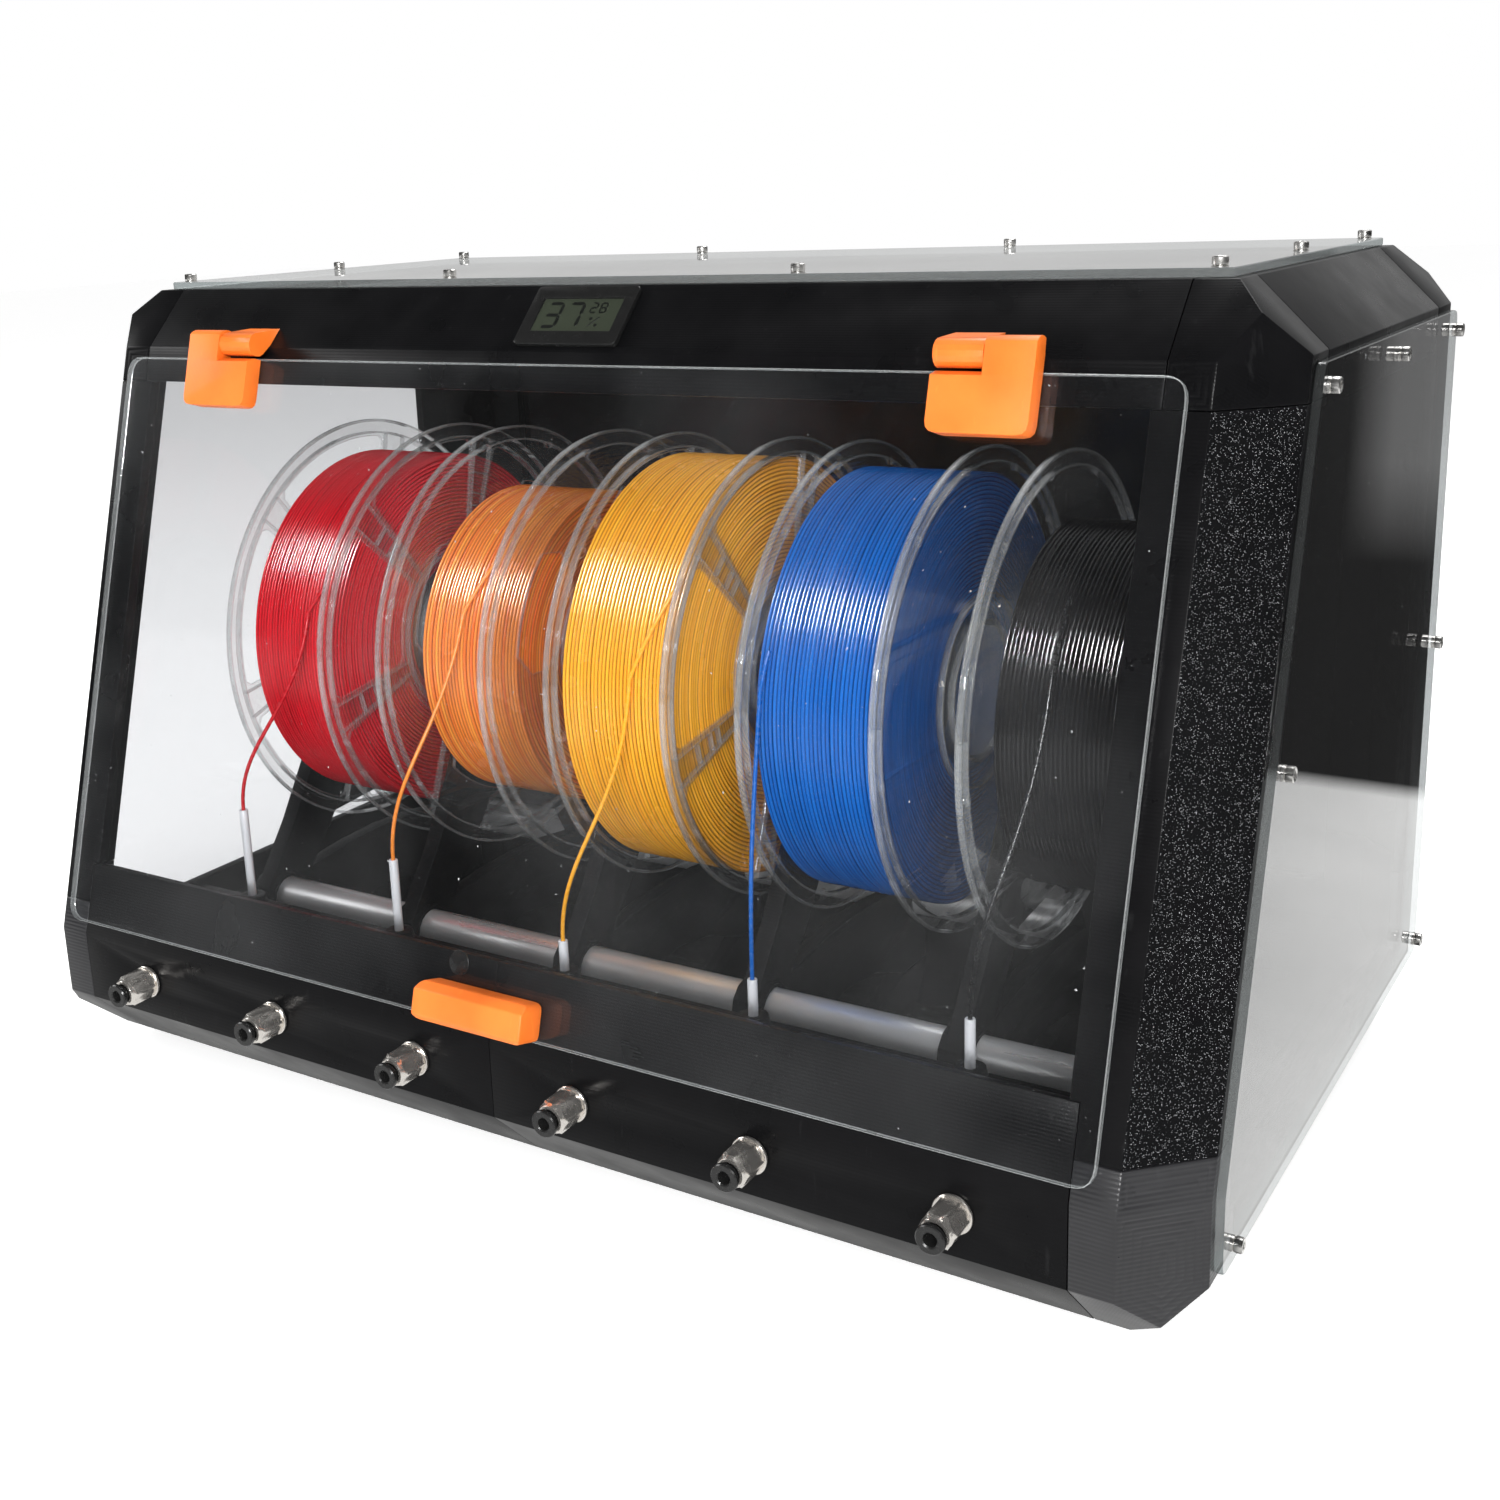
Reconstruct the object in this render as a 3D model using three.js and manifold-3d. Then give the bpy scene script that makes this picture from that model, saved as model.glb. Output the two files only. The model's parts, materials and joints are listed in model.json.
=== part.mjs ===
// Filament dryer box: a bevelled printed frame closed by screwed clear panels, a top-hinged clear
// door, six push-in tube fittings and a rack of five spools. Millimetres, +Z up, door faces -Y,
// origin at the centre of the footprint on the floor.
import * as THREE from 'three';
import { mergeVertices } from 'three/addons/utils/BufferGeometryUtils.js';
import Module from 'manifold-3d';

const wasm = await Module();
wasm.setup();

// ---- driving dimensions ----
const WIDTH = 540; // across the two side faces
const DEPTH = 341; // nose of the lip to the rear face
const NOSE_Y = -165.5; // front lip plane
const REAR_Y = NOSE_Y + DEPTH;
const FOOT_H = 6; // rubber foot height, so also the underside of the frame
const BOTTOM_BEVEL = 26;
const LIP_H = 31; // upright strip that carries the fittings
const SLOPE_RISE = 255; // door plane, bottom crease to top crease
const SLOPE_RUN = 75;
const TOP_BEVEL = 23.5;
const CORNER = 23; // bevel of the upright corners
const WALL = 5; // printed wall
const FLANGE = 19; // frame flange beyond a bevel
const SEAM = 0.15; // half the gap at a joint between printed pieces

const LIP_Z = FOOT_H + BOTTOM_BEVEL;
const NOSE_Z = LIP_Z + LIP_H;
const CREST_Z = NOSE_Z + SLOPE_RISE;
const CREST_Y = NOSE_Y + SLOPE_RUN;
const TOP_Z = CREST_Z + TOP_BEVEL;
const HALF = WIDTH / 2;

const SEAM_X = 231.5; // joint between a corner piece and a front beam
const SEAM_LOW_Z = 76.5; // joint between the base and the posts
const SEAM_TOP_Z = 303; // joint between the posts and the top
const SEAM_SIDE_LOW_Y = -117.5; // joint between a front corner piece and a side rail
const SEAM_SIDE_TOP_Y = -48;
const SEAM_REAR_Y = 127.5;

const SILL = 32; // bottom of the door opening, up the slope from the nose
const OPENING_TOP = 250.5;
const OPENING_HALF = 228;
const WINDOW_LOW_Z = 48.5; // side windows
const WINDOW_TOP_Z = 300;
const WINDOW_REAR_Y = 130.5;
const WINDOW_INSET = 20; // from the corner bevel to the window along the slope

const PANEL_T = 3;
const PANEL_GAP = 0.2;
const DOOR_W = 480;
const DOOR_S0 = 6; // door edges, up the slope from the nose
const DOOR_S1 = 260.5;
const DOOR_GAP = 1;

const HINGE_S = 266; // hinge axis, up the slope and out from it
const HINGE_OFF = 7;
const HINGE_X0 = 157;
const HINGE_SPLIT = 175;
const HINGE_X1 = 193;

const FITTING_PITCH = 77;
const FITTING_Z = 48;
const FITTING_BORE = 2.2; // filament way
const COLLAR_TRAVEL = 1.5;

const SPOOL_PITCH = 91;
const SPOOL_SHIFT = 6;
const SPOOL_W = 60;
const SPOOL_R = 100;
const SPOOL_BORE = 27;
const SPOOL_Y = 11.5;
const SPOOL_Z = 173;
const FLANGE_T = 3.2;
const WINDING_R = [85, 72, 91, 89, 73]; // left to right

const CONDUIT_R = 9;
const CONDUIT_Z = 50;
const CONDUIT_Y = [-64.5, 74.5];
const CONDUIT_X = [-220, 206];
const STRUT_T = 8; // bracket plate
const STRUT_GAP = 2; // bracket plate to spool flange
const FLOOR_Z = FOOT_H + WALL + 0.3;
const FLOOR_T = 3;

const SHELF_Z = 60.5; // closed channel behind the lip
const SHELF_Y = -92.5;
const LEDGE_Y = SHELF_Y + 8; // ledge under the front edge of the floor
const TUBE_Y = -97.5;
const TUBE_SHIFT = -19.5; // guide tube from the spool's mid plane
const TUBE_TOP = [106, 97, 77, 79, 83];
const STRAND_R = 0.875;
const LAP_STEPS = 5;
const LEAVES_X = [8, -4, 8, -24, -6]; // strand off each winding, from the spool's mid plane
const LAP_DEG = [8, 20, 27, 10, 28]; // arc over which the strand lies on its winding first
const LAP_DRIFT = [7, 10, 17, 2, 0]; // and how far it crosses the turns there

const HYGRO_X = -2;
const HYGRO_W = 48;
const HYGRO_H = 28.6;

const SCREW_R = 2.75;
const TOP_SCREW_H = 3.4;
const SIDE_SCREW_H = 4;
const REAR_SCREW_H = 5.4;

// ---- frame of the sloped door plane: s runs up it, the normal points out ----
const SLOPE_LEN = Math.hypot(SLOPE_RISE, SLOPE_RUN);
const SLOPE_UP = new THREE.Vector3(0, SLOPE_RUN / SLOPE_LEN, SLOPE_RISE / SLOPE_LEN);
const SLOPE_OUT = new THREE.Vector3(0, -SLOPE_RISE / SLOPE_LEN, SLOPE_RUN / SLOPE_LEN);
const slopeY = (z) => NOSE_Y + ((z - NOSE_Z) * SLOPE_RUN) / SLOPE_RISE;
const onSlope = (x, s, off) =>
  new THREE.Vector3(x, NOSE_Y, NOSE_Z).addScaledVector(SLOPE_UP, s).addScaledVector(SLOPE_OUT, off);
const slopeFrame = (s, off) =>
  new THREE.Matrix4()
    .makeBasis(new THREE.Vector3(1, 0, 0), SLOPE_UP, SLOPE_OUT)
    .setPosition(onSlope(0, s, off));

// ---- solids ----
function solid(geometry) {
  const bare = new THREE.BufferGeometry();
  const flat = geometry.index ? geometry.toNonIndexed() : geometry;
  bare.setAttribute('position', flat.getAttribute('position').clone());
  const merged = mergeVertices(bare, 1e-4);
  const tris = [];
  for (let i = 0; i < merged.index.count; i += 3) {
    const [a, b, c] = [0, 1, 2].map((k) => merged.index.getX(i + k));
    if (a !== b && b !== c && c !== a) tris.push(a, b, c);
  }
  const data = { numProp: 3, vertProperties: merged.attributes.position.array };
  return new wasm.Manifold(new wasm.Mesh({ ...data, triVerts: new Uint32Array(tris) }));
}

function box(x0, x1, y0, y1, z0, z1) {
  const g = new THREE.BoxGeometry(x1 - x0, y1 - y0, z1 - z0);
  return solid(g.translate((x0 + x1) / 2, (y0 + y1) / 2, (z0 + z1) / 2));
}

// Cylinder between two axial stations along +X, +Y or +Z through the point `at`.
function rod(axis, at, r, a, b, sides = 16, r2 = r) {
  const g = new THREE.CylinderGeometry(r2, r, b - a, sides).rotateX(Math.PI / 2);
  g.translate(0, 0, (a + b) / 2);
  if (axis === 'x') g.rotateZ(Math.PI / 2).rotateY(Math.PI / 2);
  if (axis === 'y') g.rotateX(-Math.PI / 2);
  return solid(g.translate(at[0], at[1], at[2]));
}

// Outline in the local XY plane extruded along local +Z, then placed by a matrix.
function plate(points, depth, matrix, holes = []) {
  const shape = points instanceof THREE.Shape ? points : new THREE.Shape(points);
  shape.holes.push(...holes);
  const g = new THREE.ExtrudeGeometry(shape, { depth, bevelEnabled: false, curveSegments: 4 });
  return solid(g.applyMatrix4(matrix));
}

const v2 = (x, y) => new THREE.Vector2(x, y);

// Polygon with its corners rounded by radius r, three chords to a corner.
function rounded(points, r) {
  const out = [];
  points.forEach((p, i) => {
    const prev = points[(i + points.length - 1) % points.length];
    const next = points[(i + 1) % points.length];
    const u = prev.clone().sub(p).normalize();
    const w = next.clone().sub(p).normalize();
    const reach = r / Math.tan(Math.acos(u.dot(w)) / 2);
    const a = p.clone().addScaledVector(u, reach);
    const b = p.clone().addScaledVector(w, reach);
    for (const t of [0, 1 / 3, 2 / 3, 1]) {
      const m = 1 - t;
      out.push(v2(
        m * m * a.x + 2 * m * t * p.x + t * t * b.x,
        m * m * a.y + 2 * m * t * p.y + t * t * b.y,
      ));
    }
  });
  return out;
}

const rect = (x0, x1, y0, y1) => [v2(x0, y0), v2(x1, y0), v2(x1, y1), v2(x0, y1)];

// Local XY -> world: matrices for outlines drawn in the YZ plane (extruded +X) and others.
const basis = (ex, ey, ez, at) =>
  new THREE.Matrix4()
    .makeBasis(new THREE.Vector3(...ex), new THREE.Vector3(...ey), new THREE.Vector3(...ez))
    .setPosition(...at);
const planeYZ = (x) => basis([0, 1, 0], [0, 0, 1], [1, 0, 0], [x, 0, 0]);
const planeXY = (z) => basis([1, 0, 0], [0, 1, 0], [0, 0, 1], [0, 0, z]);
const planeXZ = (y) => basis([-1, 0, 0], [0, 0, 1], [0, 1, 0], [0, y, 0]);

// Removes everything on the far side of a plane.
function trim(body, point, normal) {
  const n = new THREE.Vector3(...normal).normalize();
  const size = 1600;
  const turn = new THREE.Quaternion().setFromUnitVectors(new THREE.Vector3(0, 0, 1), n);
  const g = new THREE.BoxGeometry(size, size, size).translate(0, 0, size / 2);
  g.applyQuaternion(turn).translate(point[0], point[1], point[2]);
  return body.subtract(solid(g));
}

// The box's bevelled envelope, moved inwards by t.
function envelope(t) {
  const slope = SLOPE_RUN / SLOPE_RISE;
  const faces = [
    [[0, NOSE_Y, NOSE_Z], [0, -1, slope]],
    [[0, NOSE_Y, NOSE_Z], [0, -1, 0]],
    [[0, NOSE_Y, LIP_Z], [0, -1, -1]],
    [[0, 0, FOOT_H], [0, 0, -1]],
    [[0, REAR_Y, LIP_Z], [0, 1, -1]],
    [[0, REAR_Y, 0], [0, 1, 0]],
    [[0, REAR_Y, CREST_Z], [0, 1, 1]],
    [[0, 0, TOP_Z], [0, 0, 1]],
    [[0, CREST_Y, CREST_Z], [0, -1, 1]],
  ];
  for (const m of [-1, 1]) {
    faces.push(
      [[m * HALF, 0, 0], [m, 0, 0]],
      [[m * HALF, 0, CREST_Z], [m, 0, 1]],
      [[m * HALF, 0, LIP_Z], [m, 0, -1]],
      [[m * (HALF - CORNER), NOSE_Y, NOSE_Z], [m, -1, 0]],
      [[m * (HALF - CORNER), NOSE_Y, NOSE_Z], [m, -1, slope]],
      [[m * (HALF - CORNER), REAR_Y, 0], [m, 1, 0]],
    );
  }
  let body = box(-HALF - 40, HALF + 40, NOSE_Y - 40, REAR_Y + 40, -20, TOP_Z + 40);
  for (const [point, normal] of faces) {
    const n = new THREE.Vector3(...normal).normalize();
    const p = new THREE.Vector3(...point).addScaledVector(n, -t);
    body = trim(body, p.toArray(), normal);
  }
  return body;
}

const BEYOND = 500; // past every surface of the box
const sideFrontY = (z) => slopeY(z) + CORNER;

// Bevelled shell with the door, top, side, rear and bottom openings cut through it.
function frameShell() {
  const windowSide = [
    v2(NOSE_Y + CORNER + WINDOW_INSET, WINDOW_LOW_Z),
    v2(WINDOW_REAR_Y, WINDOW_LOW_Z),
    v2(WINDOW_REAR_Y, WINDOW_TOP_Z),
    v2(sideFrontY(WINDOW_TOP_Z) + WINDOW_INSET, WINDOW_TOP_Z),
    v2(NOSE_Y + CORNER + WINDOW_INSET, NOSE_Z),
  ];
  const inX = HALF - TOP_BEVEL - FLANGE;
  const lowX = HALF - BOTTOM_BEVEL - FLANGE;
  const rearX = HALF - CORNER - FLANGE;
  const door = rect(-OPENING_HALF, OPENING_HALF, SILL, OPENING_TOP);
  return envelope(0)
    .subtract(envelope(WALL))
    .subtract(plate(door, 60, slopeFrame(0, -30)))
    .subtract(plate(windowSide, 2 * BEYOND, planeYZ(-BEYOND)))
    .subtract(box(-inX, inX, CREST_Y + TOP_BEVEL + FLANGE, REAR_Y - TOP_BEVEL - FLANGE, 330, 360))
    .subtract(box(-lowX, lowX, LEDGE_Y, REAR_Y - BOTTOM_BEVEL - FLANGE, 0, 20))
    .subtract(box(-rearX, rearX, REAR_Y - 20, REAR_Y + 20, 52, 298));
}

const shell = frameShell();
const region = (x0, x1, y0, y1, z0, z1) => shell.intersect(box(x0, x1, y0, y1, z0, z1));

const spoolX = (i) => SPOOL_SHIFT + (i - 2) * SPOOL_PITCH;
const tubeX = (i) => spoolX(i) + TUBE_SHIFT;
const fittingX = (i) => (i - 2.5) * FITTING_PITCH;

// ---- output ----
const colours = {
  frame: 0x141414, glitter: 0x1b1b1d, orange: 0xf47a1c, clear: 0xdfe8ec, dark: 0x0e0e10,
  metal: 0xb9bcc0, nickel: 0xc9c6bd, rubber: 0x101010, screen: 0x2a2f2a, white: 0xf2f2f0,
};
const filaments = [0xc01828, 0xd97a28, 0xf2b01e, 0x1f4fb4, 0x0d0d0f];
const group = new THREE.Group();

function add(name, body, colour, opacity = 1) {
  const mesh = body.getMesh();
  const g = new THREE.BufferGeometry();
  g.setAttribute('position', new THREE.BufferAttribute(new Float32Array(mesh.vertProperties), 3));
  g.setIndex(new THREE.BufferAttribute(new Uint32Array(mesh.triVerts), 1));
  const flat = g.toNonIndexed();
  flat.computeVertexNormals();
  const material = new THREE.MeshStandardMaterial({ color: colour, roughness: 0.5 });
  if (opacity < 1) Object.assign(material, { transparent: true, opacity });
  const part = new THREE.Mesh(flat, material);
  part.name = name;
  group.add(part);
}

const sides = [['left', -1], ['right', 1]];

// A mirrored x range in rising order.
const span = (m, a, b) => (m > 0 ? [a, b] : [-b, -a]);

// ---- base: front beam halves, front corners, side rails, rear beam ----
for (const [side, m] of sides) {
  const [x0, x1] = span(m, SEAM, SEAM_X - SEAM);
  const sillZ = NOSE_Z + (SILL * SLOPE_RISE) / SLOPE_LEN;
  let beam = region(x0, x1, -BEYOND, LEDGE_Y, 0, sillZ - SEAM)
    .add(box(x0, x1, NOSE_Y + 3, SHELF_Y, SHELF_Z - 4.5, SHELF_Z))
    .add(box(x0, x1, SHELF_Y - 4, SHELF_Y, FOOT_H + 2, SHELF_Z));
  for (let i = 0; i < 5; i += 1) {
    const x = tubeX(i);
    if (x < x0 || x > x1) continue;
    beam = beam.add(rod('z', [x, TUBE_Y, 0], 7.5, SHELF_Z - 2, SHELF_Z + 3.5, 14, 6));
  }
  for (let i = 0; i < 5; i += 1) {
    const x = tubeX(i);
    if (x > x0 && x < x1) beam = beam.subtract(rod('z', [x, TUBE_Y, 0], 2.4, 40, 80, 10));
  }
  for (let i = 0; i < 6; i += 1) {
    const x = fittingX(i);
    if (x < x0 || x > x1) continue;
    beam = beam.subtract(rod('y', [x, 0, FITTING_Z], 5.3, NOSE_Y - 5, NOSE_Y + 10, 16));
  }
  add(`base_front_${side}`, beam, colours.frame);

  const [cx0, cx1] = span(m, SEAM_X + SEAM, BEYOND);
  const zPost = SEAM_LOW_Z - SEAM;
  add(`base_corner_${side}`, region(cx0, cx1, -BEYOND, SEAM_SIDE_LOW_Y - SEAM, 0, zPost),
    colours.frame);

  const [rx0, rx1] = span(m, 200, BEYOND);
  const rail = region(rx0, rx1, SEAM_SIDE_LOW_Y + SEAM, SEAM_REAR_Y - SEAM, 0, 60)
    .subtract(box(...span(m, 190, SEAM_X + SEAM), -BEYOND, LEDGE_Y + SEAM, 0, 60));
  add(`base_rail_${side}`, rail, colours.frame);

  const [px0, px1] = span(m, OPENING_HALF - 0.5, BEYOND);
  const notch = box(...span(m, 90, SEAM_X + SEAM), -BEYOND, 0, 0, sillZ + SEAM);
  const post = region(px0, px1, -BEYOND, 60, SEAM_LOW_Z + SEAM, SEAM_TOP_Z - SEAM)
    .subtract(box(px0, px1, SEAM_SIDE_TOP_Y - SEAM, 70, WINDOW_TOP_Z - 1, BEYOND))
    .subtract(notch);
  add(`front_post_${side}`, post, colours.glitter);

  add(`top_corner_${side}`,
    region(cx0, cx1, -BEYOND, SEAM_SIDE_TOP_Y - SEAM, SEAM_TOP_Z + SEAM, BEYOND), colours.frame);
  const topRail = region(rx0, rx1, SEAM_SIDE_TOP_Y + SEAM, SEAM_REAR_Y - SEAM, 290, BEYOND);
  add(`top_rail_${side}`, topRail, colours.frame);
}
add('base_rear', region(-BEYOND, BEYOND, SEAM_REAR_Y + SEAM, BEYOND, 0, SEAM_LOW_Z - SEAM), colours.frame);
add('rear_arch', region(-BEYOND, BEYOND, SEAM_REAR_Y + SEAM, BEYOND, SEAM_LOW_Z + SEAM, BEYOND),
  colours.frame);

// ---- top front beam with the hygrometer in its bevel ----
const bevelMid = [HYGRO_X, CREST_Y + TOP_BEVEL / 2, CREST_Z + TOP_BEVEL / 2];
const bevelFrame = (off) => {
  const out = new THREE.Vector3(0, -Math.SQRT1_2, Math.SQRT1_2);
  const up = new THREE.Vector3(0, Math.SQRT1_2, Math.SQRT1_2);
  const at = new THREE.Vector3(...bevelMid).addScaledVector(out, off);
  return new THREE.Matrix4().makeBasis(new THREE.Vector3(1, 0, 0), up, out).setPosition(at);
};
const halfW = HYGRO_W / 2;
const halfH = HYGRO_H / 2;
const cutout = rect(-halfW + 1, halfW - 1, -halfH + 1, halfH - 1);
add('top_front',
  region(-SEAM_X + SEAM, SEAM_X - SEAM, -BEYOND, SEAM_SIDE_TOP_Y - SEAM, SEAM_TOP_Z + SEAM, BEYOND)
    .subtract(plate(cutout, 20, bevelFrame(-10))),
  colours.frame);
const hygrometer = plate(rounded(rect(-halfW, halfW, -halfH, halfH), 2), 2.2, bevelFrame(0.2))
  .add(plate(rect(-halfW + 1.3, halfW - 1.3, -halfH + 1.3, halfH - 1.3), 12.4, bevelFrame(-12)))
  .subtract(plate(rect(-19, 19, -8, 8.6), 3, bevelFrame(1.4)));
add('hygrometer', hygrometer, colours.screen);

// ---- feet ----
for (const [side, m] of sides) {
  for (const [end, y] of [['front', -123], ['rear', 128]]) {
    add(`foot_${end}_${side}`, rod('z', [m * 226, y, 0], 9, 0, FOOT_H - 0.1, 16, 10),
      colours.rubber);
  }
}

// ---- panels, each with its screws ----
const topY0 = CREST_Y + TOP_BEVEL + 3;
const topY1 = REAR_Y - TOP_BEVEL - 3;
const topHalf = HALF - TOP_BEVEL - 3;
const topOutline = rounded(rect(-topHalf, topHalf, topY0, topY1), 4);
let topPanel = plate(topOutline, PANEL_T, planeXY(TOP_Z + PANEL_GAP));
const topMid = (topY0 + topY1) / 2;
const topScrews = [[-237, topMid], [237, topMid]];
for (const x of [-237, -82.5, 82.5, 237]) topScrews.push([x, topY0 + 7], [x, topY1 - 7]);
for (const [x, y] of topScrews) {
  const z = TOP_Z + PANEL_GAP + PANEL_T;
  topPanel = topPanel.add(rod('z', [x, y, 0], SCREW_R, z - 1, z + TOP_SCREW_H, 10));
}
add('top_panel', topPanel, colours.white, 0.5);

const INSET = 2.5;
const sideOutline = [
  v2(NOSE_Y + CORNER + INSET, LIP_Z + INSET),
  v2(REAR_Y - CORNER - INSET, LIP_Z + INSET),
  v2(REAR_Y - CORNER - INSET, CREST_Z - INSET),
  v2(sideFrontY(CREST_Z) + INSET, CREST_Z - INSET),
  v2(NOSE_Y + CORNER + INSET, NOSE_Z),
];
const sideScrews = [
  [-60.5, 308], [41, 308], [142, 308], [142, 178], [142, 43], [-131, 43], [-94.5, 190],
];
for (const [side, m] of sides) {
  const x = HALF + PANEL_GAP;
  const [x0] = span(m, x, x + PANEL_T);
  let panel = plate(rounded(sideOutline, 5), PANEL_T, planeYZ(x0));
  const [a, b] = span(m, x + PANEL_T - 1, x + PANEL_T + SIDE_SCREW_H);
  for (const [y, z] of sideScrews) panel = panel.add(rod('x', [0, y, z], SCREW_R, a, b, 10));
  add(`${side}_panel`, panel, colours.clear, 0.4);
}

const rearHalf = HALF - CORNER - 3;
let rearPanel = plate(rounded(rect(-rearHalf, rearHalf, LIP_Z + 3, CREST_Z - 3), 5), PANEL_T,
  planeXZ(REAR_Y + PANEL_GAP));
for (const z of [LIP_Z + 11, CREST_Z - 11]) {
  for (const x of [-236, -79, 79, 236]) {
    const y = REAR_Y + PANEL_GAP + PANEL_T;
    rearPanel = rearPanel.add(rod('y', [x, 0, z], SCREW_R, y - 1, y + REAR_SCREW_H, 10));
  }
}
add('rear_panel', rearPanel, colours.dark);
add('floor_panel', box(-238, 238, SHELF_Y + 0.4, 145, FLOOR_Z, FLOOR_Z + FLOOR_T), colours.dark);

// ---- door, handle and hinges ----
add('door_panel',
  plate(rounded(rect(-DOOR_W / 2, DOOR_W / 2, DOOR_S0, DOOR_S1), 8), PANEL_T,
    slopeFrame(0, DOOR_GAP)),
  colours.clear, 0.4);
const doorFace = DOOR_GAP + PANEL_T + PANEL_GAP;
const grip = [
  v2(6.5, doorFace), v2(21.5, doorFace), v2(21.5, doorFace + 9), v2(18.5, doorFace + 13),
  v2(8.5, doorFace + 13), v2(6.5, doorFace + 11),
];
const alongX = (x) => // outline in (s, off) extruded along +X
  new THREE.Matrix4()
    .makeBasis(SLOPE_UP, SLOPE_OUT, new THREE.Vector3(1, 0, 0))
    .setPosition(onSlope(x, 0, 0));
const flatGrip = rounded(rect(-26, 26, 6.5, 21.5), 3);
add('door_handle',
  plate(grip, 52, alongX(-26)).intersect(plate(flatGrip, 40, slopeFrame(0, 0))),
  colours.orange);

// Arc of points about the hinge axis in (s, off).
function hingeArc(r, from, to, steps) {
  const out = [];
  for (let k = 0; k <= steps; k += 1) {
    const t = from + ((to - from) * k) / steps;
    out.push(v2(HINGE_S + r * Math.cos(t), HINGE_OFF + r * Math.sin(t)));
  }
  return out;
}
const hingeAt = onSlope(0, HINGE_S, HINGE_OFF);
// The bevel above the crease, in (s, off), with a small clearance.
const bevelDir = new THREE.Vector3(0, Math.SQRT1_2, Math.SQRT1_2);
const onBevel = (d, off) => {
  const s = SLOPE_LEN + d * bevelDir.dot(SLOPE_UP);
  const o = d * bevelDir.dot(SLOPE_OUT);
  return v2(s - off * bevelDir.dot(SLOPE_OUT), o + off * bevelDir.dot(SLOPE_UP));
};
for (const [side, m] of sides) {
  const [f0, f1] = span(m, HINGE_X0, HINGE_SPLIT - PANEL_GAP);
  const [k0, k1] = span(m, HINGE_SPLIT + PANEL_GAP, HINGE_X1);
  const wing = [onBevel(1.5, 0.3), ...hingeArc(5, -2.4, 0.29, 4), onBevel(10.5, 0.3)];
  const pin = span(m, HINGE_X0 + 4, HINGE_X1 - 5);
  const fixed = plate(hingeArc(5, 0, (Math.PI * 2 * 15) / 16, 15), f1 - f0, alongX(f0))
    .add(plate(wing, f1 - f0, alongX(f0)))
    .add(rod('x', [0, hingeAt.y, hingeAt.z], 1.5, ...pin, 12));
  add(`hinge_wing_${side}`, fixed, colours.orange);

  const block = [v2(239, doorFace), v2(HINGE_S, doorFace),
    ...hingeArc(6, -0.35, 0.98, 5), v2(239, HINGE_OFF + 5)];
  const [w0, w1] = span(m, HINGE_X0, HINGE_X1);
  const low = [v2(239, doorFace), v2(DOOR_S1 - 0.6, doorFace),
    v2(DOOR_S1 - 0.6, HINGE_OFF + 1), v2(DOOR_S1 - 2.5, HINGE_OFF + 5), v2(239, HINGE_OFF + 5)];
  const face = rounded(rect(w0, w1, 239, 290), 4);
  const bore = span(m, HINGE_SPLIT - 3, HINGE_X1 - 4);
  const leaf = plate(block, k1 - k0, alongX(k0))
    .add(plate(low, w1 - w0, alongX(w0)))
    .intersect(plate(face, 40, slopeFrame(0, 0)))
    .subtract(rod('x', [0, hingeAt.y, hingeAt.z], 1.8, ...bore, 12));
  add(`hinge_leaf_${side}`, leaf, colours.orange);
}

// ---- push-in fittings and their release collars ----
const lipFace = NOSE_Y;
const faceY = lipFace - 14.6; // mouth of the body
for (let i = 0; i < 6; i += 1) {
  const at = [fittingX(i), 0, FITTING_Z];
  const body = rod('y', at, 4.9, lipFace - 1, lipFace + 11, 12)
    .add(rod('y', at, 7.2, lipFace - 1.5, lipFace - PANEL_GAP, 14))
    .add(rod('y', at, 6.9, lipFace - 12.9, lipFace - 1.3, 6))
    .add(rod('y', at, 5.6, faceY, lipFace - 12, 12))
    .add(rod('y', at, 6.9, lipFace + WALL + 0.3, lipFace + WALL + 3.8, 6))
    .subtract(rod('y', at, FITTING_BORE, lipFace - 30, lipFace + 30, 8))
    .subtract(rod('y', at, 3.9, faceY - 1, faceY + 6, 12));
  add(`fitting_${i + 1}`, body, colours.nickel);
  const collar = rod('y', at, 5.3, faceY - 4, faceY - COLLAR_TRAVEL - 0.4, 12)
    .add(rod('y', at, 3.5, faceY - 2, faceY + 3.6, 12))
    .subtract(rod('y', at, FITTING_BORE, lipFace - 30, lipFace + 30, 8));
  add(`collar_${i + 1}`, collar, colours.dark);
}

// ---- spool rack: two conduits, five brackets ----
CONDUIT_Y.forEach((y, i) => {
  add(['conduit_front', 'conduit_rear'][i],
    rod('x', [0, y, CONDUIT_Z], CONDUIT_R, ...CONDUIT_X, 16)
      .subtract(rod('x', [0, y, CONDUIT_Z], CONDUIT_R - 1.4, -BEYOND, BEYOND, 16)),
    colours.metal);
});

const [yFront, yRear] = CONDUIT_Y;
const bracketBase = FLOOR_Z + FLOOR_T + 0.3;
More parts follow.
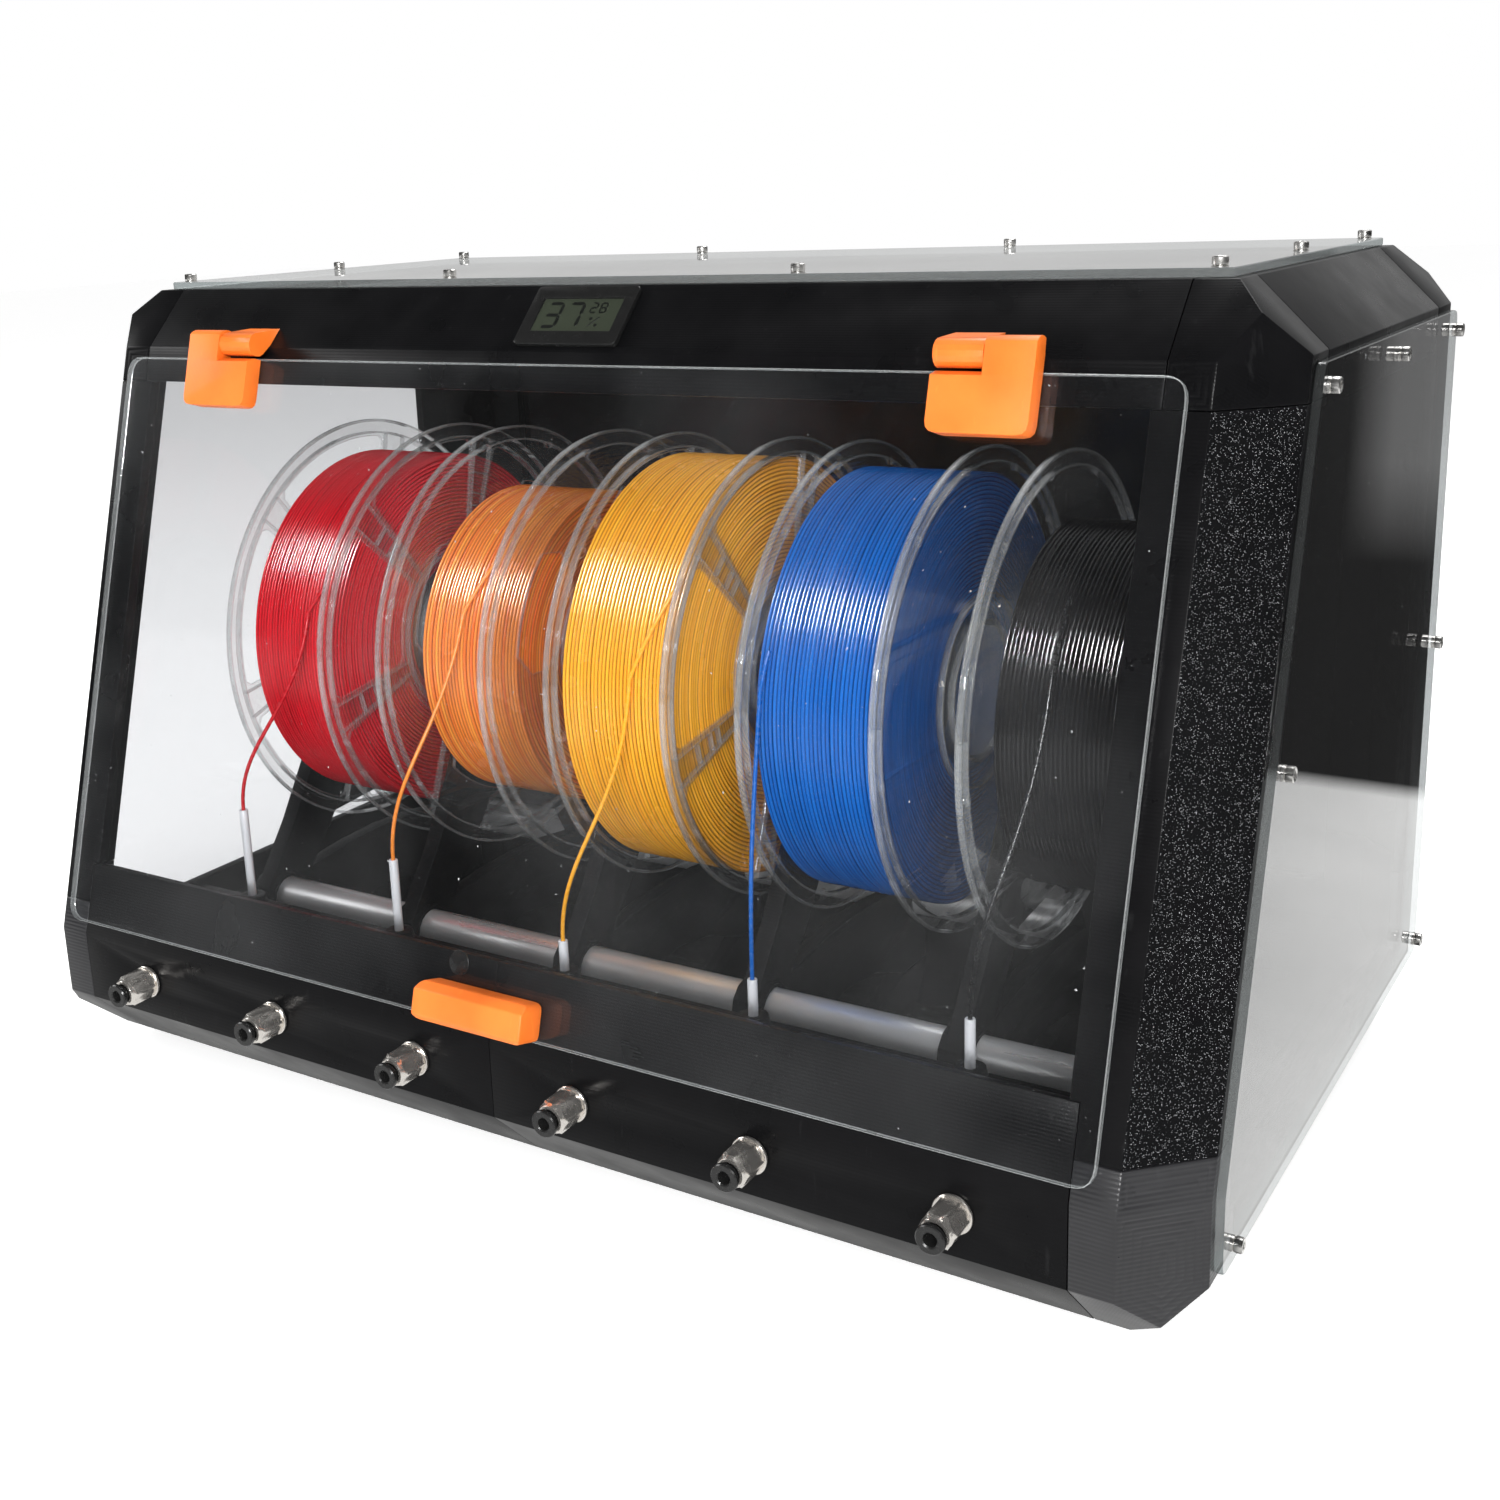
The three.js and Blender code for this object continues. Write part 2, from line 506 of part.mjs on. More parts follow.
// One side plate: feet, a tie bar arched underneath, and two legs that curve up to the hub.
function bracketOutline() {
  const s = new THREE.Shape();
  s.moveTo(yFront - 12, bracketBase);
  s.lineTo(yFront + 12, bracketBase);
  s.quadraticCurveTo((yFront + yRear) / 2, 46, yRear - 12, bracketBase);
  s.lineTo(yRear + 12, bracketBase);
  s.lineTo(yRear + 11, CONDUIT_Z + 6);
  s.quadraticCurveTo(SPOOL_Y + 42, SPOOL_Z - 62, SPOOL_Y + 20, SPOOL_Z);
  s.lineTo(SPOOL_Y - 20, SPOOL_Z);
  s.quadraticCurveTo(SPOOL_Y - 42, SPOOL_Z - 62, yFront - 11, CONDUIT_Z + 6);
  return s;
}
function bracketWindow() {
  const w = new THREE.Path();
  w.moveTo(yFront + 20, 58);
  w.quadraticCurveTo(SPOOL_Y, 66, yRear - 20, 58);
  w.quadraticCurveTo(SPOOL_Y + 24, SPOOL_Z - 80, SPOOL_Y, SPOOL_Z - 34);
  w.quadraticCurveTo(SPOOL_Y - 24, SPOOL_Z - 80, yFront + 20, 58);
  return w;
}
for (let i = 0; i < 5; i += 1) {
  const x1 = spoolX(i) - SPOOL_W / 2 - STRUT_GAP;
  const hub = [0, SPOOL_Y, SPOOL_Z];
  let strut = plate(bracketOutline(), STRUT_T, planeYZ(x1 - STRUT_T), [bracketWindow()])
    .add(rod('x', hub, 31, x1 - STRUT_T, x1, 20))
    .add(rod('x', hub, SPOOL_BORE - 0.4, x1 - STRUT_T, x1 + 38, 20));
  for (const y of CONDUIT_Y) {
    strut = strut.add(rod('x', [0, y, CONDUIT_Z], 11.5, x1 - STRUT_T - 3, x1 + 3, 12));
  }
  for (const y of CONDUIT_Y) {
    strut = strut.subtract(rod('x', [0, y, CONDUIT_Z], CONDUIT_R + 0.3, -BEYOND, BEYOND, 16));
  }
  strut = strut.subtract(rod('x', hub, SPOOL_BORE - 4, x1 - STRUT_T - 1, x1 + 60, 16));
  add(`bracket_${i + 1}`, strut, colours.frame);
}

// ---- spools: two flanges, a hub and the winding ----
for (let i = 0; i < 5; i += 1) {
  const h = SPOOL_W / 2;
  const profile = [
    [SPOOL_BORE, -h], [SPOOL_R, -h], [SPOOL_R, -h + FLANGE_T], [WINDING_R[i], -h + FLANGE_T],
    [WINDING_R[i], h - FLANGE_T], [SPOOL_R, h - FLANGE_T], [SPOOL_R, h], [SPOOL_BORE, h],
    [SPOOL_BORE, -h],
  ].map(([r, x]) => v2(r, x));
  const g = new THREE.LatheGeometry(profile, 40).rotateZ(-Math.PI / 2);
  add(`spool_${i + 1}`, solid(g.translate(spoolX(i), SPOOL_Y, SPOOL_Z)), filaments[i]);
}

// ---- guide tubes with the filament that runs down into them ----
function sweep(points, r, around) {
  const pos = [];
  const rings = points.map((p, k) => {
    const a = points[Math.max(k - 1, 0)];
    const b = points[Math.min(k + 1, points.length - 1)];
    const t = b.clone().sub(a).normalize();
    const u = new THREE.Vector3(0, 1, 0).cross(t).normalize();
    const w = t.clone().cross(u);
    return Array.from({ length: around }, (_, j) => {
      const q = (2 * Math.PI * j) / around;
      return p.clone().addScaledVector(u, r * Math.cos(q)).addScaledVector(w, r * Math.sin(q));
    });
  });
  const tri = (...abc) => abc.forEach((p) => pos.push(p.x, p.y, p.z));
  for (let k = 0; k + 1 < rings.length; k += 1) {
    for (let j = 0; j < around; j += 1) {
      const n = (j + 1) % around;
      tri(rings[k][j], rings[k][n], rings[k + 1][n]);
      tri(rings[k][j], rings[k + 1][n], rings[k + 1][j]);
    }
  }
  const [first, last] = [rings[0], rings[rings.length - 1]];
  for (let j = 1; j + 1 < around; j += 1) {
    tri(first[0], first[j + 1], first[j]);
    tri(last[0], last[j], last[j + 1]);
  }
  const g = new THREE.BufferGeometry();
  g.setAttribute('position', new THREE.BufferAttribute(new Float32Array(pos), 3));
  return solid(g);
}
for (let i = 0; i < 5; i += 1) {
  const r = WINDING_R[i] + STRAND_R + 0.35;
  const foot = new THREE.Vector3(tubeX(i), TUBE_Y, TUBE_TOP[i]);
  const to = v2(SPOOL_Y - foot.y, SPOOL_Z - foot.z);
  const free = Math.sqrt(to.lengthSq() - r * r);
  const angle = Math.atan2(to.y, to.x) + Math.asin(r / to.length());
  const leave = new THREE.Vector3(spoolX(i) + LEAVES_X[i],
    foot.y + free * Math.cos(angle), foot.z + free * Math.sin(angle));
  const pull = new THREE.Vector3(0, Math.cos(angle), Math.sin(angle));
  const curve = new THREE.CubicBezierCurve3(leave, leave.clone().addScaledVector(pull, -free * 0.5),
    foot.clone().add(new THREE.Vector3(0, 0, free * 0.35)), foot);
  const start = Math.atan2(leave.z - SPOOL_Z, leave.y - SPOOL_Y);
  const path = [];
  for (let k = LAP_STEPS; k > 0; k -= 1) {
    const q = start - (THREE.MathUtils.degToRad(LAP_DEG[i]) * k) / LAP_STEPS;
    path.push(new THREE.Vector3(leave.x + (LAP_DRIFT[i] * k) / LAP_STEPS,
      SPOOL_Y + r * Math.cos(q), SPOOL_Z + r * Math.sin(q)));
  }
  path.push(...curve.getPoints(12));
  path.push(foot.clone().add(new THREE.Vector3(0, 0, -4)));
  const tube = rod('z', [foot.x, foot.y, 0], 2, 52, foot.z, 10);
  add(`filament_${i + 1}`, tube.add(sweep(path, STRAND_R, 6)), filaments[i]);
}

export default group;
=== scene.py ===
"""Looks of the filament dryer box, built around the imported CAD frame.

Mesh builders work in millimetres in the row frame, and finish_mesh scales them to metres.
Materials, lights and the studio are in metres.
"""

import json
import math
import random

import bmesh
import bpy
from mathutils import Matrix, Vector

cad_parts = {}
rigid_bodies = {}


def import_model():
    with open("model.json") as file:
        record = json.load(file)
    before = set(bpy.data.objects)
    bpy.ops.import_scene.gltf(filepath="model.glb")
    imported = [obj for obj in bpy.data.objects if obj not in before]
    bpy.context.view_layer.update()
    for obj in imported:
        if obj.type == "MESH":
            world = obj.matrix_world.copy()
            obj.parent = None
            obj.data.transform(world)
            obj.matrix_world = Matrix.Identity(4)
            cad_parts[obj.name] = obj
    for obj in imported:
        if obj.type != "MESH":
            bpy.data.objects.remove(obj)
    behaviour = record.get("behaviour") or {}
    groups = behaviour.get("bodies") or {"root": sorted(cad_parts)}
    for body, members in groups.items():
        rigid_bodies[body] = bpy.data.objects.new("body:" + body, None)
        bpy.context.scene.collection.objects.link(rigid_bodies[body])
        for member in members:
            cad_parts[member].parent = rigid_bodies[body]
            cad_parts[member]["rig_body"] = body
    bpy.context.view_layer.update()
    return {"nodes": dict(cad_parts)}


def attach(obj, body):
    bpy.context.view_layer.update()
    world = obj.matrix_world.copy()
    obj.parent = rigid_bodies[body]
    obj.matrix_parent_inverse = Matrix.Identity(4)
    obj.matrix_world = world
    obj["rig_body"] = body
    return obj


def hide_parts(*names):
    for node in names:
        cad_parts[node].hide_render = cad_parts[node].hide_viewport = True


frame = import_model()
MM = 0.001
TAU = 2 * math.pi

# ---- dimensions of the box, as in its CAD source ----
HALF = 270  # half the frame's width
RUN, RISE = 75, 255  # of the sloping front
NOSE_Y, NOSE_Z = -165.5, 63  # the front's lower edge
CREST_Y, CREST_Z = -90.5, 318  # the front's upper edge
REAR_Y, TOP_Z, LIP_Z = 175.5, 341.5, 32
CORNER, TOP_BEVEL = 23, 23.5
MARGIN = 3  # between a panel and the bevels beside it
PANEL_T, PANEL_GAP = 3, 0.2
DOOR_W, DOOR_GAP = 480, 1
DOOR_S0, DOOR_S1 = 6, 260.5  # stations up the slope
FOOT_X, FOOT_Y = 226, {"front": -123, "rear": 128}
REELS = range(5)
RACK_X, RACK_PITCH = 6, 91
SPOOL_X = [RACK_X + (i - 2) * RACK_PITCH for i in REELS]
SPOOL_Y, SPOOL_Z = 11.5, 173
SPOOL_R, SPOOL_H, SPOOL_BORE = 100, 30, 27  # radius, half width, bore radius
CONDUIT_Y, CONDUIT_Z, CONDUIT_R, CONDUIT_X = (-64.5, 74.5), 50, 9, (-220, 206)
CONDUIT_WALL = 1.4
SHELF_Z = 60.5
TUBE_Y, TUBE_SHIFT = -97.5, -19.5  # the guide tubes, sideways from their reels
TUBE_FOOT, TUBE_TOP = 52.2, [106, 97, 77, 79, 83]
FITTING_X = [(i - 2.5) * 77 for i in range(6)]
FITTING_Z = 48
HYGRO_X = -2

# ---- filament on the reels ----
STRAND_R = 0.875
WINDING_R = [85, 72, 91, 89, 73]
WOUND_INNER, WOUND_HALF = 34, SPOOL_H - 3.4  # core radius, half width
WOUND_TURNS = int(WOUND_HALF / STRAND_R)
WOUND_PITCH = 2 * WOUND_HALF / WOUND_TURNS
LEAVES_X = [8, -4, 8, -24, -6]  # where a strand leaves its winding, from the reel's middle
LAP_DEG, LAP_DRIFT = [8, 20, 27, 10, 28], [7, 10, 17, 2, 0]  # its last stretch on the winding

SLOPE = Vector((0, RUN, RISE)).normalized()
OUT = Vector((0, -RISE, RUN)).normalized()
X, Y, Z = Vector((1, 0, 0)), Vector((0, 1, 0)), Vector((0, 0, 1))


def wound_layers(outer):
    """How many layers lie on a reel, and how thick each one is."""
    layers = int((outer - WOUND_INNER) / (2 * STRAND_R))
    return layers, (outer - WOUND_INNER) / layers


def basis(ex, ey, ez, at):
    """Matrix with the given axes and origin."""
    m = Matrix((ex, ey, ez)).transposed().to_4x4()
    m.translation = at
    return m


def on_slope(x, s, off):
    """Point on the front: s up the slope and off outwards."""
    return Vector((x, NOSE_Y, NOSE_Z)) + SLOPE * s + OUT * off


# ---------------------------------------------------------------- materials
class Tree:
    """A node material under construction."""

    OBJECT_SPACE = 3  # output of the texture coordinates
    LIMITS = 1, 2, 3, 4  # inputs of a map range: from low, from high, to low, to high
    MIX_IN, MIX_OUT = (0, 6, 7), 2  # factor and colour inputs of a mix, its colour output
    FLOAT_MIX_IN = 0, 2, 3

    def __init__(self, name):
        self.mat = bpy.data.materials.new(name)
        self.mat.use_nodes = True
        self.nt = self.mat.node_tree
        self.nt.nodes.clear()

    def add(self, kind, *values, out=0, **named):
        n = self.nt.nodes.new("ShaderNode" + kind)
        for key, value in named.items():
            setattr(n, key, value)
        for i, value in enumerate(values):
            if value is not None:
                self.put(n.inputs[i], value)
        return n.outputs[out]

    def put(self, socket, value):
        if isinstance(value, bpy.types.NodeSocket):
            self.nt.links.new(value, socket)
        else:
            socket.default_value = value

    def math(self, operation, a, b=0.5):
        return self.add("Math", a, b, operation=operation)

    def spot(self):
        return self.add("TexCoord", out=self.OBJECT_SPACE)

    def noise(self, scale, detail=2.0, stretch=None):
        at = self.spot()
        if stretch:
            at = self.add("VectorMath", at, stretch, operation="MULTIPLY")
        return self.add("TexNoise", at, None, scale, detail)

    def ramp(self, fac, low, high):
        n = self.nt.nodes.new("ShaderNodeMapRange")
        self.put(n.inputs[0], fac)
        for i, value in zip(self.LIMITS, (*low, *high)):
            n.inputs[i].default_value = value
        return n.outputs[0]

    def mix(self, fac, a, b):
        n = self.nt.nodes.new("ShaderNodeMix")
        n.data_type = "RGBA"
        for i, value in zip(self.MIX_IN, (fac, a, b)):
            self.put(n.inputs[i], value)
        return n.outputs[self.MIX_OUT]

    def bump(self, height, strength, distance, normal=None):
        n = self.nt.nodes.new("ShaderNodeBump")
        self.put(n.inputs["Strength"], strength)
        self.put(n.inputs["Distance"], distance)
        self.put(n.inputs["Height"], height)
        if normal is not None:
            self.put(n.inputs["Normal"], normal)
        return n.outputs[0]

    def lines(self, direction, pitch):
        """0 to 1 across ridges of one pitch, in metres, stacked along a direction."""
        along = self.add("VectorMath", self.spot(), direction, operation="DOT_PRODUCT", out=1)
        wave = self.math("SINE", self.math("MULTIPLY", along, TAU / pitch))
        return self.math("MULTIPLY_ADD", wave, 0.5)

    def surface(self, **values):
        n = self.nt.nodes.new("ShaderNodeBsdfPrincipled")
        for key, value in values.items():
            self.put(n.inputs[key.replace("_", " ")], value)
        return n.outputs[0]

    def done(self, shader):
        end = self.nt.nodes.new("ShaderNodeOutputMaterial")
        self.put(end.inputs[0], shader)
        return self.mat


def rgb(r, g, b):
    return (r, g, b, 1)


def scaled(colour, k, add=0.0):
    return rgb(*(min(1, c * k + add) for c in colour[:3]))


FLECKS_PER_METRE = 3100


def printed(name, colour, direction=(0, 0, 1), pitch=0.0009, ridge=0.12, rough=0.36,
            fleck=0.0, shine=0.1):
    """Satin printed plastic: layer ridges, uneven gloss and faint scuffs.

    fleck is the share of fine grains that glint, their glint painted into the colour; a part that
    has them shows no ridges.
    """
    t = Tree(name)
    cloud = t.noise(38, 4)
    scuff = t.noise(260, 5, (1, 1, 0.15))
    tint = t.ramp(cloud, (0.3, 0.7), (0.0, 1.0))
    base = t.mix(tint, scaled(colour, 0.72), colour)
    marks = t.ramp(scuff, (0.66, 0.74), (0.0, 0.18))
    base = t.mix(marks, base, scaled(colour, 1.6, 0.02))
    if fleck:
        cells = t.nt.nodes.new("ShaderNodeTexVoronoi")
        t.put(cells.inputs["Vector"], t.spot())
        cells.inputs["Scale"].default_value = FLECKS_PER_METRE
        pick = t.nt.nodes.new("ShaderNodeSeparateColor")
        t.put(pick.inputs[0], cells.outputs["Color"])
        # painted glint: each glinting grain gets a bright spot of colour, of random strength, in
        # place of a reflection
        star = t.ramp(pick.outputs[0], (1 - fleck, 1.0), (0.12, 1.0))
        lit = t.math("GREATER_THAN", pick.outputs[0], 1 - fleck)
        core = t.ramp(cells.outputs["Distance"], (0.14, 0.4), (1.0, 0.0))
        painted_glint = t.math("MULTIPLY", t.math("MULTIPLY", star, lit), core)
        base = t.mix(painted_glint, base, rgb(0.8, 0.81, 0.84))
        height = t.math("ADD", cells.outputs["Distance"], t.noise(700, 3))
        normal = t.bump(height, 0.3, 0.0006)
    else:
        normal = t.bump(t.lines(direction, pitch), ridge, 0.00035)
        normal = t.bump(scuff, 0.06, 0.0003, normal)
    gloss = t.ramp(cloud, (0.25, 0.75), (rough - 0.07, rough + 0.09))
    return t.done(t.surface(Base_Color=base, Roughness=gloss, Normal=normal,
                            Specular_IOR_Level=shine))


def clear(name, tint, body=0.0, gloss=1.0, dust=0.0, haze=(0.9, 0.92, 0.93)):
    """Clear sheet: see-through and mirror-like at grazing angles.

    body is the share of milk in it, of the colour haze, and dust adds clouds and specks.
    """
    t = Tree(name)
    through = t.add("BsdfTransparent", rgb(*tint))
    milk = t.surface(Base_Color=rgb(*haze), Roughness=0.25)
    cloud = t.noise(9, 5)
    share = t.ramp(cloud, (0.42, 0.72), (body * 0.75, body * 1.15 + dust * 0.5))
    if dust:
        specks = t.noise(430, 2)
        grains = t.ramp(specks, (0.765, 0.8), (0.0, 0.5))
        share = t.math("MAXIMUM", share, grains)
    inner = t.add("MixShader", share, through, milk)
    mirror = t.add("BsdfAnisotropic", rgb(1, 1, 1), 0.02)
    facing = t.math("POWER", t.add("LayerWeight", 0.5, out=1), 4.0)
    facing = t.add("Math", facing, 0.9 * gloss, 0.035 * gloss, operation="MULTIPLY_ADD")
    facing = t.math("MINIMUM", facing, 0.9)
    return t.done(t.add("MixShader", facing, inner, mirror))


def winding_material(name, first, second, rough, metal, change, outer):
    """Wound filament: each turn has its own tone, and the grooves between turns get painted shade.

    Turns are told apart along the axis, or along the radius on the flanks of the winding.
    """
    t = Tree(name)
    sep = t.nt.nodes.new("ShaderNodeSeparateXYZ")
    t.put(sep.inputs[0], t.spot())
    turn = t.math("DIVIDE", t.math("ADD", sep.outputs[0], WOUND_HALF * MM), WOUND_PITCH * MM)
    across = t.add("VectorMath", t.spot(), (0, 1, 1), operation="MULTIPLY")
    radius = t.add("VectorMath", across, operation="LENGTH", out=1)
    layers, thick = wound_layers(outer)
    layer = t.math("DIVIDE", t.math("SUBTRACT", radius, (WOUND_INNER - 0.4) * MM), thick * MM)
    flank = t.ramp(radius, ((outer - 1.5) * MM, (outer - 1.1) * MM), (1.0, 0.0))

    # painted shade: the colour darkens towards the edges of each turn, where it meets the next
    def grooves(position):
        off = t.math("ABSOLUTE", t.math("SUBTRACT", t.math("FRACT", position), 0.5))
        return t.ramp(off, (0.28, 0.5), (0.0, 0.85))

    def tones(position):
        return t.add("TexWhiteNoise", None, t.math("FLOOR", position), noise_dimensions="1D")

    def pick(a, b):
        n = t.nt.nodes.new("ShaderNodeMix")
        for i, value in zip(t.FLOAT_MIX_IN, (flank, a, b)):
            t.put(n.inputs[i], value)
        return n.outputs[0]

    tone = t.math("ADD", pick(tones(turn), tones(layer)), t.noise(14, 2))
    base = t.mix(t.math("MULTIPLY", tone, change), first, second)
    # painted shade in the grooves between turns, and between layers on the flanks
    base = t.mix(pick(grooves(turn), grooves(layer)), base, scaled(second, 0.12))
    wear = t.noise(60, 3)
    gloss = t.ramp(wear, (0.3, 0.7), (rough - 0.03, rough + 0.05))
    normal = t.bump(wear, 0.05, 0.0002)
    return t.done(t.surface(Base_Color=base, Roughness=gloss, Metallic=metal, Normal=normal,
                            Specular_IOR_Level=0.6))


def metal(name, colour, rough, grain, bump=0.1, share=1.0, stained=0.5):
    """Brushed or plated metal with duller stains; grain stretches the brush marks."""
    t = Tree(name)
    streak = t.noise(120, 4, grain)
    stain = t.noise(24, 5)
    stain = t.ramp(stain, (0.35, 0.7), (0.0, stained))
    base = t.mix(stain, colour, scaled(colour, 0.62))
    gloss = t.ramp(streak, (0.3, 0.7), (rough - 0.08, rough + 0.12))
    normal = t.bump(streak, bump, 0.0002)
    return t.done(t.surface(Base_Color=base, Roughness=gloss, Metallic=share, Normal=normal))


def plastic(name, colour, rough, scale=300, bump=0.08):
    """Moulded plastic with a fine grain."""
    t = Tree(name)
    grain = t.noise(scale, 4)
    cloud = t.ramp(t.noise(30, 3), (0.3, 0.7), (0.0, 0.25))
    base = t.mix(cloud, colour, scaled(colour, 0.6))
    gloss = t.ramp(grain, (0.3, 0.7), (rough - 0.05, rough + 0.08))
    return t.done(t.surface(Base_Color=base, Roughness=gloss,
                            Normal=t.bump(grain, bump, 0.0002)))


mats = {
    "black": printed("printed_black", rgb(0.0045, 0.0045, 0.005), (0, 0.7, 0.7),
                     pitch=0.0011, ridge=0.05, rough=0.3),
    # painted light: the same black print as the frame, made lighter to stand for the sheen the
    # corner faces catch
    "corner": printed("printed_black_lit_corner", rgb(0.018, 0.018, 0.02),
                      pitch=0.0016, ridge=0.25, rough=0.34, shine=0.6),
    "glitter": printed("printed_glitter", rgb(0.004, 0.004, 0.0045),
                       rough=0.42, fleck=0.2, shine=0.03),
    "inside": printed("printed_inside", rgb(0.006, 0.006, 0.0065),
                      pitch=0.0012, ridge=0.1, rough=0.45),
    "orange": printed("printed_orange", rgb(0.93, 0.19, 0.018), (1, 0, 0),
                      pitch=0.0008, ridge=0.08, rough=0.42, shine=0.45),
    "door": clear("clear_door", (0.97, 0.975, 0.98), body=0.002, gloss=0.8, dust=0.024),
    "side": clear("clear_side", (0.78, 0.78, 0.785), body=0.003, gloss=0.9, dust=0.004),
    "top": clear("clear_top", (0.9, 0.9, 0.9), body=0.4, gloss=0.8, dust=0.04,
                 haze=(0.8, 0.8, 0.79)),
    "edge": clear("clear_edge", (0.6, 0.63, 0.63), body=0.03, gloss=0.7,
                  haze=(0.7, 0.74, 0.74)),
    "door_edge": clear("clear_door_edge", (0.8, 0.84, 0.84), body=0.3, gloss=0.6,
                       haze=(0.75, 0.78, 0.78)),
    "reel": clear("clear_reel", (0.95, 0.95, 0.95), body=0.011, haze=(0.8, 0.8, 0.8)),
    "reel_edge": clear("clear_reel_edge", (0.92, 0.93, 0.93), body=0.13, gloss=2.2,
                       haze=(0.9, 0.91, 0.91)),
    "steel": metal("screw_steel", rgb(0.7, 0.69, 0.67), rough=0.26, grain=(1, 1, 4)),
    "nickel": metal("nickel", rgb(0.86, 0.82, 0.77), rough=0.2, grain=(1, 3, 1),
                    bump=0.03, share=0.92, stained=0.15),
    "conduit": metal("conduit_metal", rgb(0.85, 0.85, 0.85), rough=0.32, grain=(0.06, 1, 1),
                     bump=0.2, share=0.7),
    "collar": plastic("collar_plastic", rgb(0.012, 0.012, 0.012), rough=0.25),
    "rubber": plastic("foot_rubber", rgb(0.016, 0.016, 0.016), rough=0.75, scale=500, bump=0.25),
    "sheet": plastic("black_sheet", rgb(0.006, 0.006, 0.0065), rough=0.16, scale=60, bump=0.02),
    "bezel": plastic("hygro_bezel", rgb(0.01, 0.01, 0.01), rough=0.2),
    "lcd": plastic("hygro_glass", rgb(0.03, 0.036, 0.025), rough=0.14, scale=200, bump=0.02),
    "digit": plastic("hygro_digit", rgb(0.006, 0.007, 0.006), rough=0.3),
    "tube": plastic("tube_ptfe", rgb(0.72, 0.73, 0.76), rough=0.35, scale=150, bump=0.05),
}

# two tones of each filament, then its roughness, metal share and how far its turns differ
FILAMENT = [
    (rgb(0.66, 0.003, 0.014), rgb(0.44, 0.002, 0.008), 0.22, 0.0, 0.4),
    (rgb(1.0, 0.4, 0.05), rgb(0.78, 0.13, 0.012), 0.24, 0.06, 0.62),
    (rgb(1.0, 0.5, 0.03), rgb(0.86, 0.32, 0.012), 0.24, 0.06, 0.5),
    (rgb(0.008, 0.15, 0.56), rgb(0.004, 0.08, 0.36), 0.2, 0.0, 0.45),
    (rgb(0.004, 0.004, 0.0045), rgb(0.006, 0.006, 0.0065), 0.16, 0.0, 0.5),
]
COLOURS = ["red", "orange", "yellow", "blue", "black"]
wound = [winding_material(f"filament_{c}", *f, r) for c, f, r in zip(COLOURS, FILAMENT, WINDING_R)]
strands = [
    plastic(f"strand_{c}", tuple((a + b) / 2 for a, b in zip(*f[:2])), 0.25, 400, 0.04)
    for c, f in zip(COLOURS, FILAMENT)
]


# ---------------------------------------------------------------- mesh builders
def finish_mesh(name, bm, materials, body, smooth=35, stands_for=()):
    """Turns a mesh under construction into a piece; edges over smooth degrees stay sharp."""
    bmesh.ops.recalc_face_normals(bm, faces=bm.faces)
    bmesh.ops.scale(bm, vec=(MM, MM, MM), verts=bm.verts)
    mesh = bpy.data.meshes.new(name)
    bm.to_mesh(mesh)
    bm.free()
    for m in materials:
        mesh.materials.append(m)
    for p in mesh.polygons:
        p.use_smooth = True
    mesh.set_sharp_from_angle(angle=math.radians(smooth))
    obj = bpy.data.objects.new(name, mesh)
    bpy.context.scene.collection.objects.link(obj)
    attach(obj, body)
    if stands_for:
        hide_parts(*stands_for)
    return obj


def loft(bm, rings, cap_start=True, cap_end=True, closed=False, mat=0):
    """Skins rings of equal length into a tube; closed joins its last ring to its first."""
    loops = [[bm.verts.new(p) for p in ring] for ring in rings]
    pairs = list(zip(loops, loops[1:]))
    if closed:
        pairs.append((loops[-1], loops[0]))
    faces = []
    for a, b in pairs:
        for j in range(len(a)):
            k = (j + 1) % len(a)
            faces.append(bm.faces.new((a[j], a[k], b[k], b[j])))
    if cap_start and not closed:
        faces.append(bm.faces.new(list(reversed(loops[0]))))
    if cap_end and not closed:
        faces.append(bm.faces.new(loops[-1]))
    for f in faces:
        f.material_index = mat
    return faces


def circle(m, r, t, n=32, sides=None):
    """A ring of n points at station t; with sides, the points lie on a regular polygon."""
    out = []
    for j in range(n):
        a = TAU * j / n
        k = 1.0
        if sides:
            step = TAU / sides
            k = math.cos(step / 2) / math.cos((a % step) - step / 2)
        out.append(m @ Vector((r * k * math.cos(a), r * k * math.sin(a), t)))
    return out


def lathe(bm, m, profile, n=32, caps=(True, True), mat=0):
    """Profile entries are (radius, station) or (radius, station, sides)."""
    rings = [circle(m, r, t, n, *sides) for r, t, *sides in profile]
    return loft(bm, rings, *caps, mat=mat)


def hoop(bm, m, profile, n=32, mat=0):
    """A closed profile of (radius, station) turned about an axis."""
    return loft(bm, [circle(m, *p, n) for p in profile], closed=True, mat=mat)


def oblong(r0, r1, t0, t1):
    return [(r0, t0), (r1, t0), (r1, t1), (r0, t1)]


def rounded(points, r, steps=5):
    """The closed outline with each corner eased by a curve."""
    out = []
    n = len(points)
    for i, p in enumerate(points):
        p = Vector(p)
        u = (Vector(points[i - 1]) - p).normalized()
        w = (Vector(points[(i + 1) % n]) - p).normalized()
        reach = r / math.tan(math.acos(max(-1, min(1, u.dot(w)))) / 2)
        a, b = p + u * reach, p + w * reach
        for k in range(steps + 1):
            t = k / steps
            out.append(a * (1 - t) ** 2 + p * 2 * t * (1 - t) + b * t * t)
    return out


def inset(points, d):
    """A convex outline with its points moved inwards by d."""
    out = []
    n = len(points)
    area = sum(points[i - 1].x * points[i].y - points[i].x * points[i - 1].y for i in range(n))
    turn = 1 if area > 0 else -1
    for i, p in enumerate(points):
        e = (points[(i + 1) % n] - points[i - 1]).normalized()
        out.append(p + Vector((-e.y, e.x)) * d * turn)
    return out


